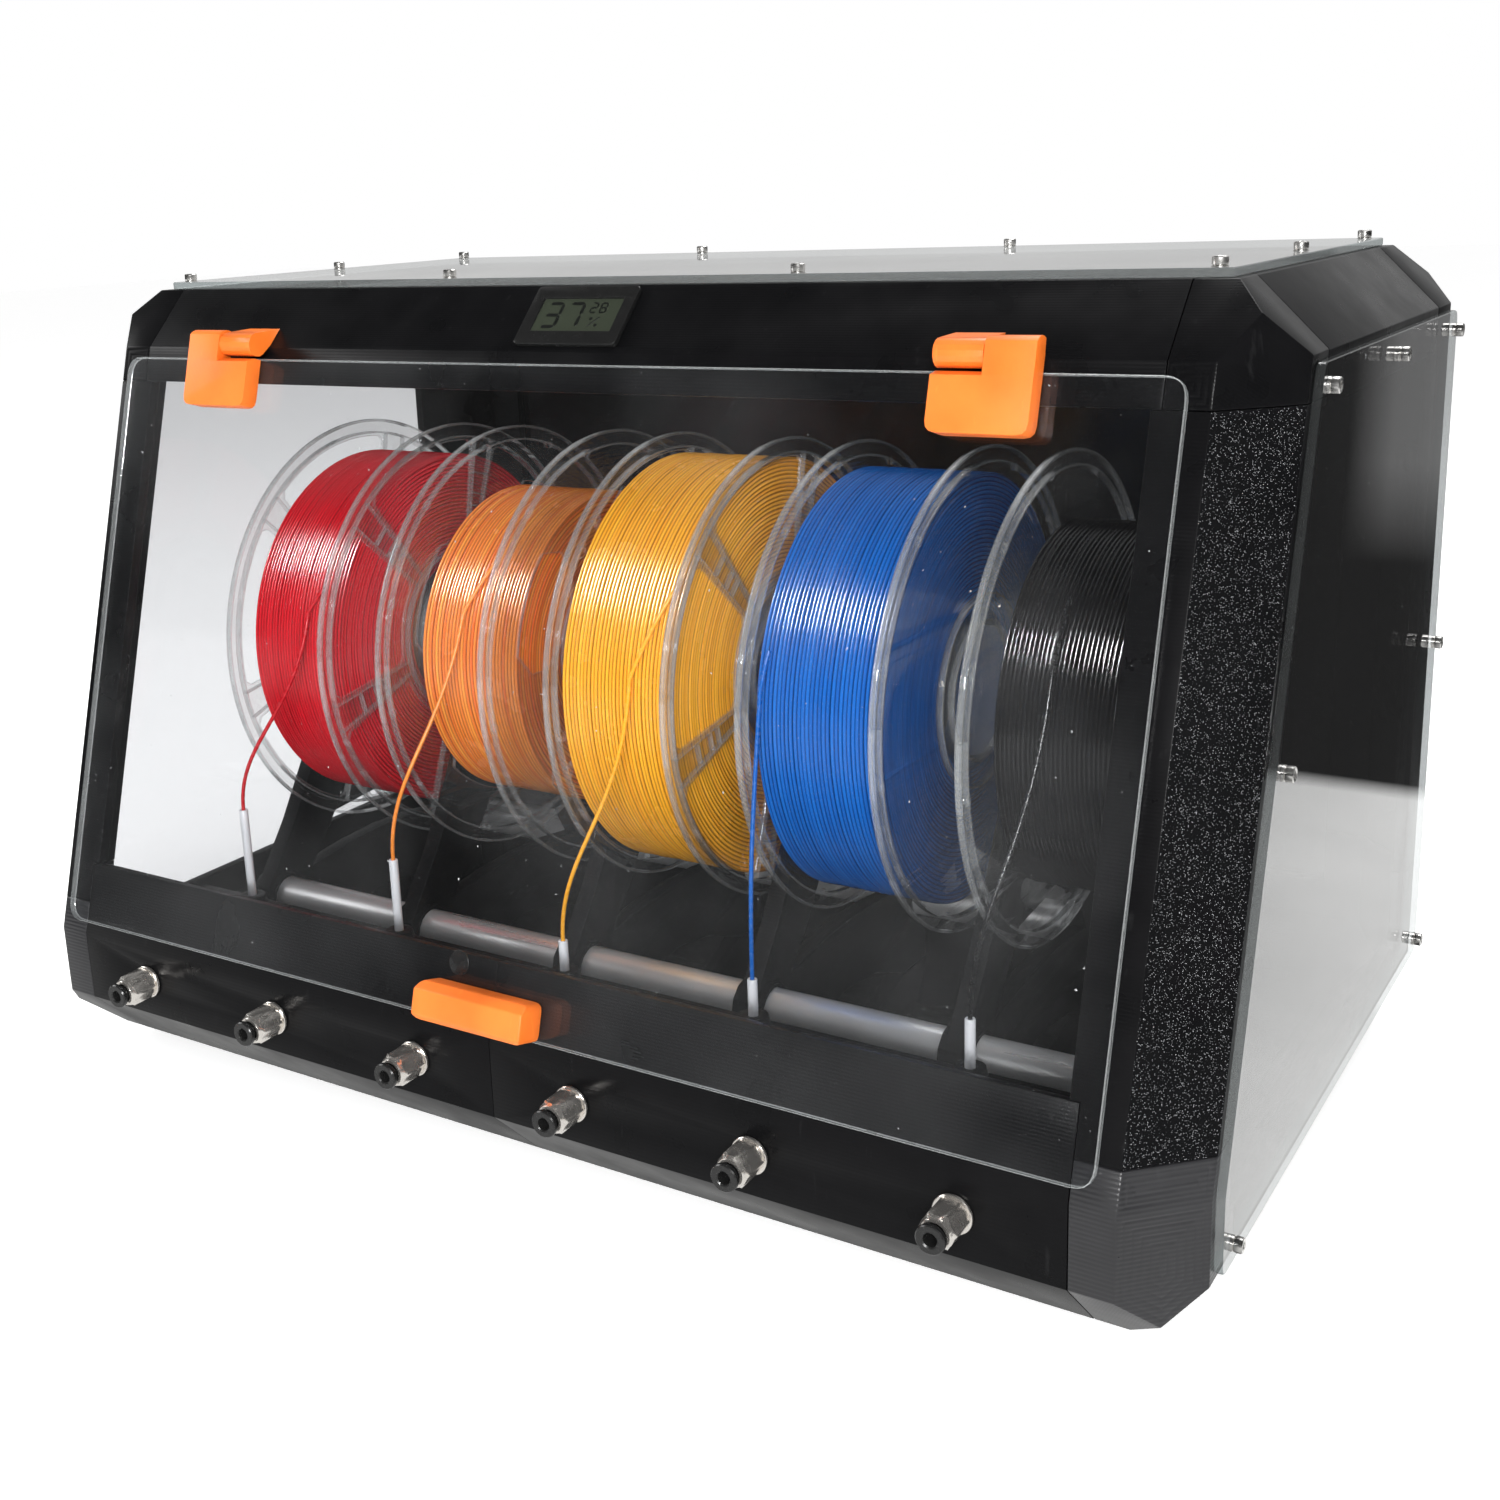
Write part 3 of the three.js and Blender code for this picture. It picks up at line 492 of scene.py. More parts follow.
def slab(bm, outline, m, depth, b=0.5, mat=0, edge_mat=None):
    """Plate from a flat outline, with its rims eased by b."""
    rings = []
    for d, t in ((b, 0), (0, b), (0, depth - b), (b, depth)):
        rings.append([m @ Vector((p.x, p.y, t)) for p in inset(outline, d)])
    faces = loft(bm, rings, mat=mat)
    if edge_mat is not None:
        for f in faces[:-2]:
            f.material_index = edge_mat
    return faces


def frame_at(axis, at):
    """Local Z along a world axis through a point."""
    return basis(*{"x": (Y, Z, X), "z": (X, Y, Z)}[axis], at)


WELD, FLAT_DEG, SHARP_DEG = 0.003, 0.6, 20


def rework(node, material, bevel=0.5, segments=2, grooves=None, second=None):
    """The CAD node's own shape with its edges eased, so that they catch the light.

    grooves: cuts lines into the mesh first.
    second: a material and a test of the normal of the faces that wear it.
    """
    bm = bmesh.new()
    bm.from_mesh(frame["nodes"][node].data)
    bmesh.ops.scale(bm, vec=(1 / MM,) * 3, verts=bm.verts)
    bmesh.ops.remove_doubles(bm, verts=bm.verts, dist=WELD)
    bmesh.ops.dissolve_limit(bm, angle_limit=math.radians(FLAT_DEG), verts=bm.verts,
                             edges=bm.edges)
    if grooves:
        grooves(bm)
    sharp = math.radians(SHARP_DEG)
    edges = [e for e in bm.edges if e.is_manifold and e.calc_face_angle(0) > sharp]
    bmesh.ops.bevel(bm, geom=edges, offset=bevel, segments=segments, profile=0.5,
                    affect="EDGES", clamp_overlap=True)
    looks = [material]
    if second:
        looks.append(second[0])
        bm.normal_update()
        for f in bm.faces:
            f.material_index = int(second[1](f.normal))
    body = frame["nodes"][node]["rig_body"]
    return finish_mesh("look_" + node, bm, looks, body, 30, [node])


# ---------------------------------------------------------------- printed frame
GROOVE_W = 0.5
GROOVED_AREA, GROOVED_EDGE = 150, 3  # smaller faces and shorter edges take no more lines


def nested_outlines(normals, first=2.0, step=2.1, count=6, depth=0.14):
    """Perimeter lines of the print on the faces that look along the given normals."""
    ways = [Vector(n).normalized() for n in normals]

    def cut(bm):
        picked = [f for f in bm.faces
                  if any(f.normal.dot(w) > 0.99 for w in ways) and f.calc_area() > GROOVED_AREA]
        for face in picked:
            ring = [face]
            for k in range(count):
                land = first if k == 0 else step
                for thickness, sink in ((land, 0.0), (GROOVE_W, -depth), (GROOVE_W, depth)):
                    bmesh.ops.inset_region(bm, faces=ring, thickness=thickness, depth=sink,
                                           use_even_offset=True, use_boundary=True)
                if min((e.calc_length() for e in ring[0].edges), default=0) < GROOVED_EDGE:
                    break

    return cut


def slanting_front(n):
    """True for the faces of a front post that look forward and sideways."""
    return 0.4 < abs(n.x) < 0.95 and n.y < -0.3


for side, m in (("left", -1), ("right", 1)):
    lines = nested_outlines([(m, -1, 0), (m, -1, RUN / RISE), (m, -1, -1)])
    rework(f"base_front_{side}", mats["black"])
    rework(f"base_corner_{side}", mats["corner"], 0.35, grooves=lines)
    rework(f"base_rail_{side}", mats["black"])
    rework(f"front_post_{side}", mats["black"], 0.4, second=(mats["glitter"], slanting_front))
    rework(f"top_corner_{side}", mats["black"], 0.35,
           grooves=nested_outlines([(0, -RISE, RUN)], first=1.2, step=1.3, count=4, depth=0.1))
    rework(f"top_rail_{side}", mats["black"])
for node in ("base_rear", "rear_arch", "top_front"):
    rework(node, mats["black"])
rework("floor_panel", mats["sheet"], 0.4)
for i in REELS:
    rework(f"bracket_{i + 1}", mats["inside"], 0.6)
rework("door_handle", mats["orange"], 1.3, 4)
for side in ("left", "right"):
    rework(f"hinge_leaf_{side}", mats["orange"], 0.9, 3)
    rework(f"hinge_wing_{side}", mats["orange"], 0.4, 2)


# ---------------------------------------------------------------- feet, conduits
def build(name, body, materials, make, smooth=35, stands_for=()):
    """A piece whose mesh the function make draws."""
    bm = bmesh.new()
    make(bm)
    return finish_mesh(name, bm, materials, body, smooth, stands_for)


for side, m in (("left", -1), ("right", 1)):
    for end, y in FOOT_Y.items():
        at = frame_at("z", Vector((m * FOOT_X, y, 0)))
        foot = [(8.2, 0), (9, 0.7), (9.3, 2), (9.9, 5), (9.7, 5.7), (9.2, 5.9)]
        build(f"look_foot_{end}_{side}", "cabinet", [mats["rubber"]],
              lambda bm: lathe(bm, at, foot, 48), stands_for=[f"foot_{end}_{side}"])

for name, y in zip(("conduit_front", "conduit_rear"), CONDUIT_Y):
    at = frame_at("x", Vector((0, y, CONDUIT_Z)))
    a, b = CONDUIT_X
    r, bore = CONDUIT_R, CONDUIT_R - CONDUIT_WALL
    pipe = [(bore, a), (r - 0.2, a), (r, a + 0.3), (r, b - 0.3), (r - 0.2, b), (bore, b)]
    build(f"look_{name}", "cabinet", [mats["conduit"]],
          lambda bm: hoop(bm, at, pipe, 64), stands_for=[name])


# ---------------------------------------------------------------- screws and panels
SCREW_R, HEAD_H, HEX_R = 2.75, 3, 1.45


def cap_screw(bm, m, height):
    """Socket head on a thin washer, standing to a height above a panel."""
    r, washer = SCREW_R, height - HEAD_H
    profile = [
        (r - 0.1, 0), (r, 0.08), (r, washer - 0.08), (r - 0.12, washer), (r - 0.35, washer + 0.12),
        (r - 0.12, washer + 0.3), (r - 0.04, washer + 0.5), (r - 0.04, height - 0.35),
        (r - 0.35, height), (HEX_R + 0.3, height), (HEX_R, height - 0.25, 6),
        (HEX_R, height - 2, 6),
    ]
    lathe(bm, m, profile, 36)


def pane(name, outline, m, look, screws, stands_for, body="cabinet", rim="edge"):
    """A sheet with rims of their own material, and its screws as (matrix, height)."""
    build(f"look_{name}", body, [look, mats[rim]],
          lambda bm: slab(bm, outline, m, PANEL_T, 0.35, 0, 1), 30, stands_for)
    if screws:
        def all_screws(bm):
            for at, height in screws:
                cap_screw(bm, at, height)

        build(f"look_{name}_screws", body, [mats["steel"]], all_screws)


def rect(x0, x1, y0, y1):
    return [Vector(p) for p in ((x0, y0), (x1, y0), (x1, y1), (x0, y1))]


TOP_SCREW_X, TOP_SCREW_IN, TOP_SCREW_H = (-237, -82.5, 82.5, 237), 7, 3.4
top_y0, top_y1 = CREST_Y + TOP_BEVEL + MARGIN, REAR_Y - TOP_BEVEL - MARGIN
top_half = HALF - TOP_BEVEL - MARGIN
top_base = TOP_Z + PANEL_GAP + PANEL_T
top_spots = [(x, (top_y0 + top_y1) / 2) for x in (TOP_SCREW_X[0], TOP_SCREW_X[-1])]
top_spots += [(x, y) for x in TOP_SCREW_X for y in (top_y0 + TOP_SCREW_IN, top_y1 - TOP_SCREW_IN)]
pane("top_panel", rounded(rect(-top_half, top_half, top_y0, top_y1), 4),
     frame_at("z", Vector((0, 0, TOP_Z + PANEL_GAP))), mats["top"],
     [(frame_at("z", Vector((x, y, top_base))), TOP_SCREW_H) for x, y in top_spots],
     ["top_panel"])

INSET, SIDE_SCREW_H = 2.5, 4.0
front_top = NOSE_Y + (CREST_Z - NOSE_Z) * RUN / RISE + CORNER
front_foot, rear = NOSE_Y + CORNER + INSET, REAR_Y - CORNER - INSET
side_outline = [Vector(p) for p in (
    (front_foot, LIP_Z + INSET), (rear, LIP_Z + INSET), (rear, CREST_Z - INSET),
    (front_top + INSET, CREST_Z - INSET), (front_foot, NOSE_Z))]
SIDE_SPOTS = (-60.5, 308), (41, 308), (142, 308), (142, 178), (142, 43), (-131, 43), (-94.5, 190)
for side, m in (("left", -1), ("right", 1)):
    face = HALF + PANEL_GAP
    plane_at = basis(Y, Z, X, Vector((face if m > 0 else -face - PANEL_T, 0, 0)))
    base = m * (face + PANEL_T)
    heads = [(basis(Y * m, Z, X * m, Vector((base, y, z))), SIDE_SCREW_H) for y, z in SIDE_SPOTS]
    pane(f"{side}_panel", rounded(side_outline, 5), plane_at, mats["side"],
         heads, [f"{side}_panel"])

REAR_SCREW_X, REAR_SCREW_IN, REAR_SCREW_H = (-236, -79, 79, 236), 11, 5.4
rear_half = HALF - CORNER - MARGIN
rear_base = REAR_Y + PANEL_GAP
rear_heads = [
    (basis(-X, Z, Y, Vector((x, rear_base + PANEL_T, z))), REAR_SCREW_H)
    for z in (LIP_Z + REAR_SCREW_IN, CREST_Z - REAR_SCREW_IN) for x in REAR_SCREW_X
]
pane("rear_panel",
     rounded(rect(-rear_half, rear_half, LIP_Z + MARGIN, CREST_Z - MARGIN), 5),
     basis(-X, Z, Y, Vector((0, rear_base, 0))), mats["sheet"], rear_heads, ["rear_panel"])

door_frame = basis(X, SLOPE, OUT, on_slope(0, 0, DOOR_GAP))
pane("door_panel", rounded(rect(-DOOR_W / 2, DOOR_W / 2, DOOR_S0, DOOR_S1), 8),
     door_frame, mats["door"], [], ["door_panel"], "door", "door_edge")
MAGNET_X, MAGNET_S, MAGNET_T = -18, 28, 0.9  # behind the door sheet, over the handle
magnet = basis(X, SLOPE, OUT, on_slope(MAGNET_X, MAGNET_S, DOOR_GAP - MAGNET_T))
build("look_door_magnet", "door", [mats["collar"]],
      lambda bm: lathe(bm, magnet, [(4.4, 0), (4.8, 0.2), (4.8, 0.7), (4.4, MAGNET_T)], 40))


# ---------------------------------------------------------------- hygrometer
rework("hygrometer", mats["bezel"], 0.35, 2)
bevel_out, bevel_up = Vector((0, -1, 1)).normalized(), Vector((0, 1, 1)).normalized()
middle = Vector((HYGRO_X, CREST_Y + TOP_BEVEL / 2, CREST_Z + TOP_BEVEL / 2))
GLASS_OFF, GLASS_T = 1.45, 0.15
DIGITS_OFF, DIGITS_T = GLASS_OFF + 0.16, 0.1
dial = basis(X, bevel_up, bevel_out, middle)
glass = dial @ Matrix.Translation((0, 0, GLASS_OFF))
print_at = dial @ Matrix.Translation((0, 0, DIGITS_OFF))
build("look_hygrometer_glass", "cabinet", [mats["lcd"]],
      lambda bm: slab(bm, rounded(rect(-18.8, 18.8, -7.8, 8.4), 0.6), glass, GLASS_T, 0.05))

# lit bars of a seven-bar digit, numbered from the top: top, upper right, lower right, bottom,
# lower left, upper left, middle
SEGMENTS = {"2": (0, 1, 6, 4, 3), "3": (0, 1, 6, 2, 3), "7": (0, 1, 2), "8": range(7)}


def digit(bm, value, x, y, w, h, t):
    """A digit of width w, height h and stroke t with its lower left corner at x, y."""
    x1, mid, y1 = x + w, y + h / 2, y + h
    bars = [
        ((x, y1), (x1, y1)), ((x1, y1), (x1, mid)), ((x1, mid), (x1, y)), ((x, y), (x1, y)),
        ((x, y), (x, mid)), ((x, mid), (x, y1)), ((x, mid), (x1, mid)),
    ]
    for k in SEGMENTS[value]:
        a, b = Vector(bars[k][0]), Vector(bars[k][1])
        e = (b - a).normalized()
        q = Vector((-e.y, e.x)) * t / 2
        a, b = a + e * t * 0.62, b - e * t * 0.62
        tip = e * t / 2
        outline = [a - tip, a + q, b + q, b + tip, b - q, a - q]
        slab(bm, outline, print_at, DIGITS_T, 0.01)


def readout(bm):
    """Two large digits, two small ones and a percent sign."""
    for value, x in (("3", -15), ("7", -5)):
        digit(bm, value, x, y=-5.4, w=6.4, h=11.4, t=1.5)
    for value, x in (("2", 5.2), ("8", 9.6)):
        digit(bm, value, x, y=1.6, w=2.6, h=4.6, t=0.7)
    for x, y in ((7.2, -1.4), (10.6, -4.6)):
        dot = print_at @ Matrix.Translation((x, y, 0))
        lathe(bm, dot, [(0.75, 0), (0.75, DIGITS_T)], 20)
    stroke = [Vector(p) for p in ((6.6, -5.2), (7.3, -5.2), (11.2, -0.8), (10.5, -0.8))]
    slab(bm, stroke, print_at, DIGITS_T, 0.01)


build("look_hygrometer_digits", "cabinet", [mats["digit"]], readout)


# ---------------------------------------------------------------- tube ports
LIP = NOSE_Y
MOUTH = LIP - 14.6
NUT_R = 6.85
FITTING_PROFILE = [  # from the mouth, over the nut, the washer, the lip and the nut behind it
    (3.9, MOUTH + 5), (3.9, MOUTH + 0.3), (4.2, MOUTH), (5.3, MOUTH), (5.6, MOUTH + 0.4),
    (5.7, MOUTH + 1), (NUT_R - 0.75, LIP - 12.9), (NUT_R, LIP - 12.1, 6), (NUT_R, LIP - 2.4, 6),
    (NUT_R - 0.7, LIP - 1.7), (6.0, LIP - 1.55), (7.0, LIP - 1.5), (7.2, LIP - 1.3),
    (7.2, LIP - 0.4), (7.0, LIP - 0.2), (4.9, LIP - 0.2), (4.9, LIP + 5.3),
    (NUT_R, LIP + 5.4, 6), (NUT_R, LIP + 8.7, 6), (4.9, LIP + 8.8), (4.9, LIP + 10.6),
    (4.5, LIP + 11), (2.2, LIP + 11), (2.2, MOUTH + 6),
]
COLLAR_PROFILE = [
    (2.3, MOUTH + 3.5), (3.5, MOUTH + 3.5), (3.5, MOUTH - 1.9), (5.0, MOUTH - 1.9),
    (5.3, MOUTH - 2.2), (5.3, MOUTH - 3.5), (4.9, MOUTH - 3.95), (3.0, MOUTH - 3.95),
    (2.5, MOUTH - 3.6), (2.3, MOUTH - 3),
]
for i, x in enumerate(FITTING_X):
    at = basis(X, -Z, Y, Vector((x, 0, FITTING_Z)))  # local Z into the box
    build(f"look_fitting_{i + 1}", "cabinet", [mats["nickel"]],
          lambda bm: lathe(bm, at, FITTING_PROFILE, 48, (False, False)), 30, [f"fitting_{i + 1}"])
    build(f"look_collar_{i + 1}", f"release_{i + 1}", [mats["collar"]],
          lambda bm: hoop(bm, at, COLLAR_PROFILE, 40), 30, [f"collar_{i + 1}"])


# ---------------------------------------------------------------- reels
def arc_window(r0, r1, a0, a1, corner, steps=10):
    """Outline of a window between two radii and two angles, with eased corners."""
    out = []
    da0, da1 = corner / r0, corner / r1
    for k in range(steps + 1):
        a = a0 + da1 + (a1 - a0 - 2 * da1) * k / steps
        out.append((r1 * math.cos(a), r1 * math.sin(a)))
    out.append(((r1 - corner) * math.cos(a1), (r1 - corner) * math.sin(a1)))
    out.append(((r0 + corner) * math.cos(a1), (r0 + corner) * math.sin(a1)))
    for k in range(steps + 1):
        a = a1 - da0 - (a1 - a0 - 2 * da0) * k / steps
        out.append((r0 * math.cos(a), r0 * math.sin(a)))
    out.append(((r0 + corner) * math.cos(a0), (r0 + corner) * math.sin(a0)))
    out.append(((r1 - corner) * math.cos(a0), (r1 - corner) * math.sin(a0)))
    return out


def slot_hole(r, a, length=5.0, width=3.6, n=12):
    """Oval outline at a radius and an angle, its length across the radius."""
    out = []
    for k in range(n):
        t = TAU * k / n
        u, w = r + width / 2 * math.cos(t), length / 2 * math.sin(t)
        out.append((u * math.cos(a) - w * math.sin(a), u * math.sin(a) + w * math.cos(a)))
    return out


def disc(r, n=128):
    return [(r * math.cos(TAU * k / n), r * math.sin(TAU * k / n)) for k in range(n)]


WINDOWS, WINDOW_TURN = 6, 14  # of an open flange, and the first one's turn in degrees
WINDOW_R = 44, 92
FLANGE_T, FLANGE_ROUND = 1.6, 0.35
RIM_HALF_W, RIM_HALF_H = 0.45, 1.4
RIMS = ((99.2, 160), (93.4, 160), (SPOOL_BORE + 2.2, 96), (40, 96))  # radius, points round it
RIB_OFF, RIB_R, RIB_HALF_W, RIB_H = 4, (42, 93), 0.35, 2.6
RUNG_OFF, RUNG_R, RUNG_W = 3.4, (60, 66, 76), 0.8
HUB_HALF, HUB_R = 29, (SPOOL_BORE + 0.3, SPOOL_BORE + 1.8)


def flange_holes(style):
    """Outlines of the bore, the windows and the slots in one flange."""
    deg = math.radians
    holes = [disc(SPOOL_BORE + 0.6, 72)]
    if style == "open":  # broad windows parted by pairs of ribs
        for k in range(WINDOWS):
            c = deg(60 * k + WINDOW_TURN)
            holes.append(arc_window(*WINDOW_R, c + deg(5.5), c + deg(54.5), 3))
    elif style == "oval":  # rounded windows near the hub
        for k in range(4):
            c = deg(90 * k + 28)
            holes.append(arc_window(42, 74, c + deg(8), c + deg(60), 10))
    if style != "open":  # an outer row of slots
        holes += [slot_hole(93, deg(30 * k + 9)) for k in range(12)]
    return holes


def flange_mesh(style):
    """Flat ring with windows, its rims rounded so that they draw bright lines."""
    data = bpy.data.curves.new("flange", "CURVE")
    data.dimensions = "2D"
    data.fill_mode = "BOTH"
    data.extrude = (FLANGE_T / 2 - FLANGE_ROUND) * MM
    data.bevel_depth = FLANGE_ROUND * MM
    data.bevel_resolution = 1
    for loop in [disc(SPOOL_R - FLANGE_ROUND)] + flange_holes(style):
        spline = data.splines.new("POLY")
        spline.points.add(len(loop) - 1)
        for p, (u, v) in zip(spline.points, loop):
            p.co = (u * MM, v * MM, 0, 1)
        spline.use_cyclic_u = True
    obj = bpy.data.objects.new("flange", data)
    bpy.context.scene.collection.objects.link(obj)
    bpy.context.view_layer.update()
    depsgraph = bpy.context.evaluated_depsgraph_get()
    mesh = bpy.data.meshes.new_from_object(obj.evaluated_get(depsgraph))
    bpy.data.objects.remove(obj)
    bpy.data.curves.remove(data)
    return mesh


STYLES = ["open", "oval", "open", "plain", "plain"]
flanges = {style: flange_mesh(style) for style in sorted(set(STYLES))}


def add_flange(bm, style, face):
    """The flat flange of a reel, in the plane x = face."""
    part = bmesh.new()
    part.from_mesh(flanges[style])
    bmesh.ops.remove_doubles(part, verts=part.verts, dist=1e-6)
    bmesh.ops.transform(part, matrix=basis(Y, Z, X, X * (face * MM)), verts=part.verts)
    bmesh.ops.scale(part, vec=(1 / MM,) * 3, verts=part.verts)
    for f in part.faces:
        f.material_index = 0 if abs(f.normal.x) > 0.98 else 1
    temp = bpy.data.meshes.new("temp")
    part.to_mesh(temp)
    part.free()
    bm.from_mesh(temp)
    bpy.data.meshes.remove(temp)


def add_ribs(bm, at):
    """Pairs of ribs between the windows of an open flange, with short rungs between them."""
    for k in range(WINDOWS):
        middle = 60 * k + WINDOW_TURN
        for off in (-RIB_OFF, RIB_OFF):
            a = math.radians(middle + off)
            u = Vector((math.cos(a), math.sin(a)))
            w = Vector((-u.y, u.x)) * RIB_HALF_W
            r0, r1 = RIB_R
            slab(bm, [u * r0 - w, u * r1 - w, u * r1 + w, u * r0 + w], at, RIB_H, 0.2, 1)
        a0, a1 = (math.radians(middle + off) for off in (-RUNG_OFF, RUNG_OFF))
        for r in RUNG_R:
            rung = [Vector((q * math.cos(a), q * math.sin(a)))
                    for q, a in oblong(r, r + RUNG_W, a0, a1)]
            slab(bm, rung, at, RIB_H, 0.15, 1)


def place_on_reel(obj, index):
    """Moves a piece made round the origin to its reel, before it rides it."""
    obj.parent = None
    obj.location = Vector((SPOOL_X[index], SPOOL_Y, SPOOL_Z)) * MM


def reel(index):
    """Two clear flanges with raised rims, ribs and hub, in one mesh centred on the reel."""
    style = STYLES[index]
    at = frame_at("x", Vector((0, 0, 0)))
    bm = bmesh.new()
    for sign in (-1, 1):
        face = sign * (SPOOL_H - FLANGE_T)
        add_flange(bm, style, face)
        for r, points in RIMS:
            ring = oblong(r - RIM_HALF_W, r + RIM_HALF_W, face - RIM_HALF_H, face + RIM_HALF_H)
            hoop(bm, at, ring, points, 1)
        if style == "open":
            add_ribs(bm, at @ Matrix.Translation((0, 0, face - RIB_H / 2)))
    hoop(bm, at, oblong(*HUB_R, -HUB_HALF, HUB_HALF), 72, 1)
    obj = finish_mesh(f"look_reel_{index + 1}", bm, [mats["reel"], mats["reel_edge"]],
                      "cabinet")
    place_on_reel(obj, index)
    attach(obj, f"reel_{index + 1}")
    return obj


def winding(index):
    """Filament wound turn by turn and layer by layer, each turn lying a little unevenly."""
    rng = random.Random(40 + index)
    outer, inner, half, pitch = WINDING_R[index], WOUND_INNER, WOUND_HALF, WOUND_PITCH
    around = 120
    at = frame_at("x", Vector((0, 0, 0)))
    layers, thick = wound_layers(outer)
    flank = []  # (radius, inward dip) down one side face
    for k in range(layers):
        dip = rng.uniform(0.0, 0.35)
        for t in (0.06, 0.5, 0.94):
            flank.append((inner + thick * (k + t), dip + 0.75 * (1 - math.sin(math.pi * t))))
    rings = [circle(at, inner, 0, around)]
    rings += [circle(at, r - 0.4, -half + dip, around) for r, dip in flank]
    for k in range(WOUND_TURNS):
        lift = rng.uniform(-0.35, 0.0)
        phase, swing, lobes = rng.uniform(0, TAU), rng.uniform(0.0, 0.07), rng.choice((1, 2))
        lean = rng.uniform(-0.05, 0.05)
        for t in (0.04, 0.22, 0.5, 0.78, 0.96):  # across the arch of one turn
            bulge = STRAND_R * math.sin(math.pi * t)
            ring = []
            for j in range(around):
                a = TAU * j / around
                r = outer - STRAND_R + bulge + lift + swing * math.sin(lobes * a + phase)
                x = -half + pitch * (k + t) + lean * math.sin(a + phase)
                ring.append(Vector((x, r * math.cos(a), r * math.sin(a))))
            rings.append(ring)
    rings += [circle(at, r - 0.4, half - dip, around) for r, dip in reversed(flank)]
    bm = bmesh.new()
    loft(bm, rings, closed=True)
    obj = finish_mesh(f"look_winding_{index + 1}", bm, [wound[index]], "cabinet",
                      75)
    place_on_reel(obj, index)
    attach(obj, f"reel_{index + 1}")


def bezier(a, b, c, d, n):
    out = []
    for k in range(n + 1):
        t = k / n
        u = 1 - t
        out.append(a * u ** 3 + b * 3 * u * u * t + c * 3 * u * t * t + d * t ** 3)
    return out


def tube_along(bm, path, r, n=14):
    """Round rod along a path that never runs along Y."""
    rings = []
    for k, p in enumerate(path):
        t = (path[min(k + 1, len(path) - 1)] - path[max(k - 1, 0)]).normalized()
        u = Y.cross(t).normalized()
        w = t.cross(u)
        turns = [TAU * j / n for j in range(n)]
        rings.append([p + (u * math.cos(q) + w * math.sin(q)) * r for q in turns])
    loft(bm, rings)


LAP_POINTS, FREE_POINTS, STRAND_GAP, IN_TUBE = 20, 40, 0.35, 4


def strand_path(i, top):
    """From over the winding, off it along a tangent, and down into the guide tube at top."""
    r = WINDING_R[i] + STRAND_R + STRAND_GAP
    to = Vector((SPOOL_Y - top.y, SPOOL_Z - top.z))
    free = math.sqrt(to.length_squared - r * r)
    angle = math.atan2(to.y, to.x) + math.asin(r / to.length)
    pull = Vector((0, math.cos(angle), math.sin(angle)))
    leave = Vector((SPOOL_X[i] + LEAVES_X[i], top.y, top.z)) + pull * free
    start = math.atan2(leave.z - SPOOL_Z, leave.y - SPOOL_Y)
    path = []
    for k in range(LAP_POINTS, 0, -1):
        q = start - math.radians(LAP_DEG[i]) * k / LAP_POINTS
        across = leave.x + LAP_DRIFT[i] * k / LAP_POINTS
        path.append(Vector((across, SPOOL_Y + r * math.cos(q), SPOOL_Z + r * math.sin(q))))
    path += bezier(leave, leave - pull * free * 0.5, top + Z * free * 0.35, top, FREE_POINTS)
    return path + [top - Z * IN_TUBE]


for i in REELS:
    spool = reel(i)
    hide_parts(f"spool_{i + 1}")
    winding(i)
    z = TUBE_TOP[i]
    top = Vector((SPOOL_X[i] + TUBE_SHIFT, TUBE_Y, z))
    path = strand_path(i, top)
    build(f"look_strand_{i + 1}", "cabinet", [strands[i]],
          lambda bm: tube_along(bm, path, STRAND_R), 60)
    at = frame_at("z", Vector((top.x, top.y, 0)))
    grommet = [(2.1, SHELF_Z), (4.8, SHELF_Z), (4.8, SHELF_Z + 1.2), (4.3, SHELF_Z + 1.7),
               (2.1, SHELF_Z + 1.7)]
    build(f"look_grommet_{i + 1}", "cabinet", [mats["black"]],
          lambda bm: hoop(bm, at, grommet))
    wall = [(1.1, TUBE_FOOT), (1.9, TUBE_FOOT), (2, TUBE_FOOT + 0.3), (2, z - 0.3), (1.8, z),
            (1.1, z)]
    build(f"look_tube_{i + 1}", "cabinet", [mats["tube"]],
          lambda bm: hoop(bm, at, wall, 28), 35, [f"filament_{i + 1}"])


# ---------------------------------------------------------------- studio
def plane(name, x0, x1, y0, y1, z, material):
    """A level stage card."""
    mesh = bpy.data.meshes.new(name)
    mesh.from_pydata([(x0, y0, z), (x1, y0, z), (x1, y1, z), (x0, y1, z)], [], [(0, 1, 2, 3)])
    mesh.materials.append(material)
    obj = bpy.data.objects.new(name, mesh)
    bpy.context.scene.collection.objects.link(obj)
    return obj


paper = Tree("floor_paper")
tone = paper.mix(paper.noise(6, 4), rgb(0.86, 0.86, 0.86), rgb(0.9, 0.9, 0.9))
sheet = paper.surface(Base_Color=tone, Roughness=0.9,
                      Emission_Color=rgb(1, 1, 1), Emission_Strength=0.52)
floor = plane("stage_floor", -8, 8, -8, 8, 0, paper.done(sheet))
floor.visible_glossy = False


